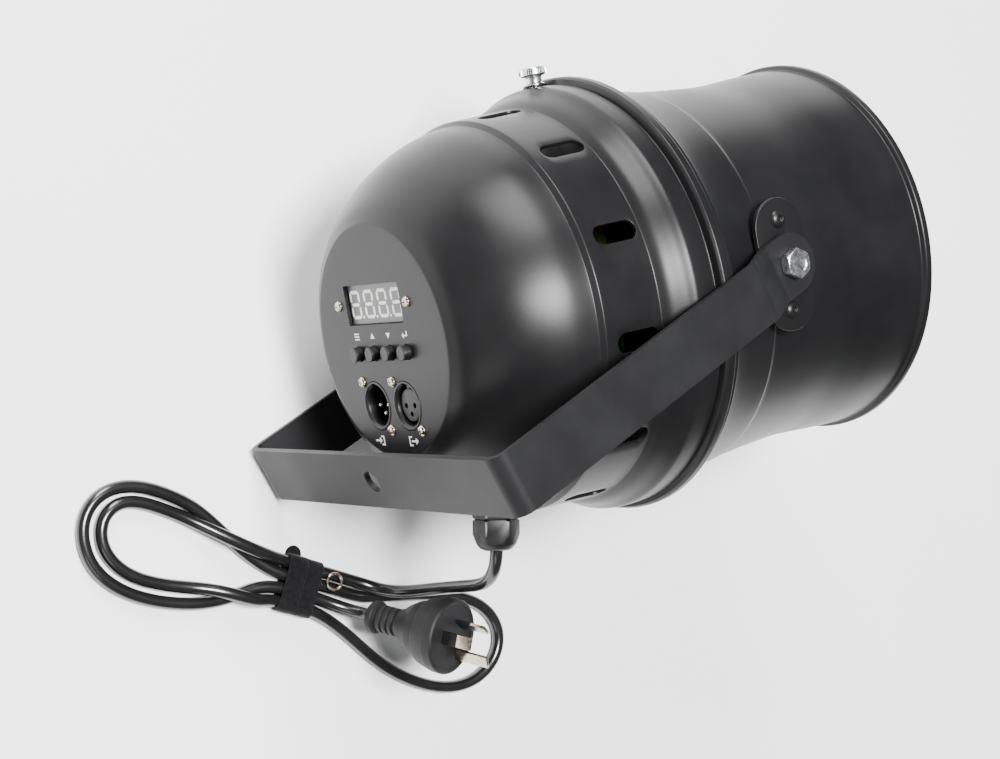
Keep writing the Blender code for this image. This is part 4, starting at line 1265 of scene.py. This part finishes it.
@dataclass
class Lead:
    """Mains lead: down from the gland, folded into a hank on the floor, to its plug."""

    gland: Gland
    radius: float = 3.3
    floor: float = 3.4
    over: float = 10.6
    tie_z: float = 5.2
    tie_centre: tuple[float, float] = (124.0, -12.0)
    tie_along: tuple[float, float] = (0.484, 0.875)
    lane: float = 7.0
    plug_start: tuple[float, float, float] = (147.5, 19.5, 21.0)
    plug_axis: tuple[float, float, float] = (0.22, 0.329, 0.918)
    smoothing: int = 7
    relax_passes: int = 16

    def in_tie(self, lane: float, along: float) -> tuple[float, float, float]:
        """A point in the tie, by lane across it and millimetres along the lead."""
        (x, y), (tx, ty), side = self.tie_centre, self.tie_along, lane * self.lane
        return x + tx * along + ty * side, y + ty * along - tx * side, self.tie_z

    def through_tie(self, lane: float, way: int) -> list[tuple]:
        """Three points along one lane of the tie."""
        return [self.in_tie(lane, way * s) for s in (-12, 0, 12)]

    def route(self) -> list[tuple]:
        """The lead's route in millimetres, in row axes from the lamp's axis."""
        z, over = self.floor, self.over
        fall = [self.gland.mouth(), (114.0, 42.3, 114.6), (121.0, 41.9, 111.5),
                (127.5, 42.5, 104.0), (131.3, 43.8, 93.0), (133.6, 45.2, 79.0),
                (136.0, 46.2, 60.0), (138.3, 44.8, 40.0), (139.6, 40.4, 24.0),
                (138.0, 33.4, 12.5), (132.7, 25.3, 6.2)]
        inner = [(102.0, -29.5, 9.6), (93.5, -42.0, over), (84.5, -53.5, 8.0),
                 (76.0, -64.0, 4.0), (68.0, -75.6, z), (61.0, -88.0, z), (58.5, -99.0, z),
                 (63.5, -108.5, z), (73.7, -112.2, z), (85.0, -109.5, z), (96.0, -100.0, z),
                 (104.5, -84.0, z), (110.5, -67.0, 5.0), (115.0, -56.0, 9.5),
                 (120.5, -46.0, over), (125.0, -37.0, 8.8)]
        far_loop = [(149.0, 5.0, z), (163.0, 16.5, z), (178.4, 28.5, z), (191.5, 44.3, z),
                    (201.0, 62.0, z), (204.0, 79.0, z), (199.5, 94.0, z), (189.0, 103.5, z),
                    (176.0, 104.5, z), (164.0, 97.0, z), (156.0, 84.5, z), (149.5, 66.0, z),
                    (145.0, 48.0, z), (141.7, 32.0, z), (138.0, 20.5, z), (133.5, 12.5, z)]
        outer = [(106.0, -31.5, z), (96.0, -40.5, z), (83.0, -50.0, z), (70.5, -60.0, z),
                 (61.5, -71.5, z), (54.0, -84.5, z), (50.5, -98.5, z), (53.5, -111.0, z),
                 (63.0, -119.5, z), (75.5, -121.5, z), (89.0, -118.0, z), (101.5, -107.0, z),
                 (111.5, -90.0, z), (118.0, -71.0, z), (120.0, -57.0, z), (119.8, -46.0, z),
                 (118.8, -35.0, 3.8)]
        axis = Vector(self.plug_axis).normalized()
        end = Vector(self.plug_start) - axis * 0.3
        return [*fall, *self.through_tie(-1.5, -1), *inner, *self.through_tie(1.5, 1), *far_loop,
                *self.through_tie(-0.5, -1), *outer, *self.through_tie(0.5, 1),
                (139.8, 7.4, 7.2), tuple(end - axis * 7.0), tuple(end)]

    def dress(self) -> None:
        points = [Vector(p) * MM + FLOOR_ROOT for p in smooth_through(self.route(), self.smoothing)]
        for _ in range(self.relax_passes):
            points[2:-2] = [(a + 2 * b + c) / 4 for a, b, c in zip(points[1:-3], points[2:-2],
                                                                 points[3:-1])]
        curve = bpy.data.curves.new("mains_lead", "CURVE")
        curve.dimensions = "3D"
        curve.bevel_depth, curve.bevel_resolution = self.radius * MM, 5
        curve.use_fill_caps = True
        spline = curve.splines.new("POLY")
        spline.points.add(len(points) - 1)
        for point, co in zip(spline.points, points):
            point.co = (*co, 1.0)
        spline.use_smooth = True
        curve.materials.append(SHEATH.material())
        piece = held(curve, "mains_lead")
        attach(piece, "head")
        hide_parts("cord")


@dataclass
class Plug:
    """Moulded three-pin plug with a ribbed tail."""

    lead: Lead
    length: float = 52.0
    face_r: float = 19.6
    blade: tuple[float, float] = (6.35, 1.63)
    buried: float = 6.0
    active_long: float = 17.0
    active_r: float = 7.92
    earth_long: float = 20.0
    earth_r: float = 10.3
    earth_deg: float = 136.0

    def moulding(self) -> bpy.types.Mesh:
        """The body: collar, ribs, flared shell and face."""
        outline = [(0, 0), (7.2, 0, 0.6), (8.6, 1.0, 0.8), (8.6, 4.2, 0.8), (6.2, 4.8, 0.3)]
        for s in (6.6, 10.4, 14.2):
            outline += [(6.2, s, 0.3), (7.3, s + 0.3, 0.3), (7.3, s + 2.4, 0.3),
                        (6.2, s + 2.8, 0.3)]
        outline += [(6.2, 18.4, 0.6), (7.8, 19.2, 0.8), (8.4, 21.5, 1.5), (11.6, 25.5, 4.0),
                    (14.6, 31.0, 6.0), (15.4, 36.0, 1.2), (17.4, 37.4, 1.2), (18.6, 42.0, 5.0),
                    (self.face_r, 46.5, 3.0), (self.face_r, self.length - 0.9, 0.7),
                    (self.face_r - 1.1, self.length, 0.5), (self.face_r - 1.9, self.length, 0.3),
                    (self.face_r - 2.4, self.length - 0.5, 0.3), (0, self.length - 0.5)]
        return turned(filleted(outline), 72)

    def blade_mesh(self, long: float, angle: float, radius: float, turn: float,
                   sleeve: bool) -> bpy.types.Mesh:
        """One flat pin with a chamfered tip, or the sleeve round its root.

        Args:
            long: How far it stands out of the face.
            angle: Where it is on the face, in degrees.
            radius: How far it is from the face's centre.
            turn: Its turn from the radial direction, in degrees.
            sleeve: Whether this is the sleeve.

        Returns:
            The mesh in the plug's frame.
        """
        w, t = self.blade
        if sleeve:
            w, t, long = w + 0.16, t + 0.16, long * 0.5
        block = plate([filleted(rectangle((-w / 2, -t / 2), (w / 2, t / 2), 0.25), steps=3)],
                      long + self.buried)
        bevelled(block, 0.45 if not sleeve else 0.05, 60, 2)
        shifted(block, z=self.length + (long - self.buried) / 2)
        at = math.radians(angle)
        return moved(block, Matrix.Translation((radius * math.cos(at), radius * math.sin(at), 0))
                     @ Matrix.Rotation(math.radians(angle + turn), 4, "Z"))

    def dress(self) -> None:
        """Put the body, the sleeved pins and the earth pin in place."""
        place = on_floor(self.lead.plug_start, self.lead.plug_axis, (0, 0, 1))
        place_piece("plug_moulding", self.moulding(), place, PLUG_PVC,
                    stands_for=("plug_body",), sharp=40)
        active = (self.earth_deg + 120.0, self.earth_deg + 240.0)
        pins, sleeves = (joined([self.blade_mesh(self.active_long, a, self.active_r, 90.0, sleeve)
                                 for a in active]) for sleeve in (False, True))
        for face in sleeves.polygons:
            face.material_index = 1
        both = joined([pins, sleeves])
        for finish in (NICKEL, NYLON):
            both.materials.append(finish.material())
        place_piece("plug_pins_sleeved", both, place, NICKEL,
                    stands_for=("plug_pin_live", "plug_pin_neutral"))
        earth = self.blade_mesh(self.earth_long, self.earth_deg, self.earth_r, 0.0, False)
        place_piece("plug_pin_earth_blade", earth, place, NICKEL,
                    stands_for=("plug_pin_earth",))


@dataclass
class Tie:
    """Hook-and-loop tie: two turns round the hank, a rounded tail and a wire ring."""

    lead: Lead

    def turn_of_strap(self, width: float, along: float, grow: float) -> bpy.types.Mesh:
        """One turn of the strap round the strands.

        Args:
            width: The strap's width along the lead.
            along: Where its middle is, along the lead.
            grow: How far it stands out beyond the strands.

        Returns:
            The turn, in the tie's frame.
        """
        half, rise, thick = 1.5 * self.lead.lane + self.lead.radius + grow, 3.6 + grow, 1.3
        outer = filleted(rectangle((-half - thick, -rise - thick), (half + thick, rise + thick),
                                   4.6), steps=10)
        inner = filleted(rectangle((-half, -rise), (half, rise), 3.4), steps=10)
        return shifted(plate([outer, inner], width, 0.3), z=along)

    def dress(self) -> None:
        """Build the strap and its ring, and put them in place."""
        tx, ty = self.lead.tie_along
        place = on_floor((*self.lead.tie_centre, self.lead.tie_z), (tx, ty, 0), (ty, -tx, 0))
        turns = [self.turn_of_strap(10.4, -4.8, 0.15), self.turn_of_strap(8.8, 5.4, -0.05)]
        reach = 1.5 * self.lead.lane + self.lead.radius
        tail = plate([[(-4.9, -reach * 0.7), (4.9, -reach * 0.7), *circle(
            4.9, 17, (0, reach + 1.5), 0, 180)]], 1.2, 0.3)
        moved(tail, Matrix.Translation((0, 5.9, -4.8)) @ Matrix.Rotation(
            math.radians(90), 4, "X") @ Matrix.Rotation(math.radians(90), 4, "Z"))
        place_piece("tie_strap", joined([*turns, tail]), place, STRAP,
                    stands_for=("cord_tie",))
        low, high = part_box("tie_ring")
        middle = (low + high) / 2
        ring = turned([(4.2 + 0.75 * math.cos(a), 0.75 * math.sin(a))
                       for a in (math.tau * i / 10 for i in range(10))], 40)
        place_piece("tie_ring_wire", ring, on_floor(tuple((middle - FLOOR_ROOT) / MM),
                                                    (0, 0, 1)),
                    NICKEL, stands_for=("tie_ring",))


# ----------------------------------------------------------------------------------------------
# Camera, light and floor
# ----------------------------------------------------------------------------------------------
@dataclass
class Studio:
    """Pale floor, soft lights and the camera."""

    lens_mm: float = 72.99
    sensor_mm: float = 36.0
    camera_at: tuple[float, float, float] = (-0.0709, -0.6035, 0.9404)
    right: tuple[float, float, float] = (0.17384, 0.81254, 0.55638)
    back: tuple[float, float, float] = (-0.10409, -0.54665, 0.83086)
    floor_half: float = 6.0
    floor_drop: float = 0.0002
    world_light: float = 0.25

    def dress_camera(self) -> None:
        """Set the camera."""
        data = bpy.data.cameras.new("camera")
        data.lens, data.sensor_width, data.sensor_fit = self.lens_mm, self.sensor_mm, "HORIZONTAL"
        camera = held(data, "camera")
        matrix = turned_to(self.back, self.right)
        matrix.translation = self.camera_at
        camera.matrix_world = matrix
        bpy.context.scene.camera = camera

    def soft_light(self, name: str, at: tuple, aim: tuple, size: tuple, watts: float,
                   tint: str = "#ffffff") -> None:
        """Add a rectangular soft light.

        Args:
            name: Its name.
            at: Where it is, in metres.
            aim: What it points at.
            size: Its width and height in metres.
            watts: Its power.
            tint: Its colour.
        """
        data = bpy.data.lights.new(name, "AREA")
        data.shape, data.size, data.size_y = "RECTANGLE", *size
        data.energy, data.color = watts, linear(tint)[:3]
        lamp = held(data, name)
        lamp.location = at
        lamp.rotation_euler = (Vector(at) - Vector(aim)).to_track_quat("Z", "Y").to_euler()

    def dress(self) -> None:
        """Build the floor and the lights."""
        self.dress_camera()
        bm = bmesh.new()
        bmesh.ops.create_grid(bm, x_segments=12, y_segments=12, size=self.floor_half)
        floor = held(mesh_of(bm, "floor"), "floor")
        finish = Finish("floor_paper", "#f2f2f2", "#f6f6f6", roughness=0.7, grain_mm=3.0,
                        relief_mm=0.01, patch_mm=400)
        floor.data.materials.append(finish.material())
        floor.location.z = -self.floor_drop
        world = bpy.data.worlds.new("studio")
        world.use_nodes = True
        sky = world.node_tree.nodes["Background"].inputs
        sky["Color"].default_value = linear("#f4f6f8")
        sky["Strength"].default_value = self.world_light
        bpy.context.scene.world = world
        self.soft_light("key_over", (-0.45, -0.5, 3.1), (0, 0, 0.11), (0.9, 0.9), 335)
        self.soft_light("key_top", (-2.2, -0.2, 1.3), (0, 0, 0.11), (0.9, 1.6), 110)
        self.soft_light("fill_front", (1.2, -1.6, 1.2), (0, 0, 0.1), (1.0, 0.8), 8)


def main() -> None:
    """Build and dress the whole lamp."""
    logging.basicConfig(level=logging.INFO, format="%(name)s %(message)s")
    Studio().dress()
    gland = Gland()
    lead = Lead(gland)
    Plug(lead).dress()
    Tie(lead).dress()
    lead.dress()
    gland.dress()
    cap = RearCap()
    cap.dress()
    FrontCan().dress()
    Thumbscrew().dress()
    Panel(cap).dress()
    LightSource().dress()
    Mounting().dress()
    dress_cad_nodes()


if __name__ == "__main__":
    main()
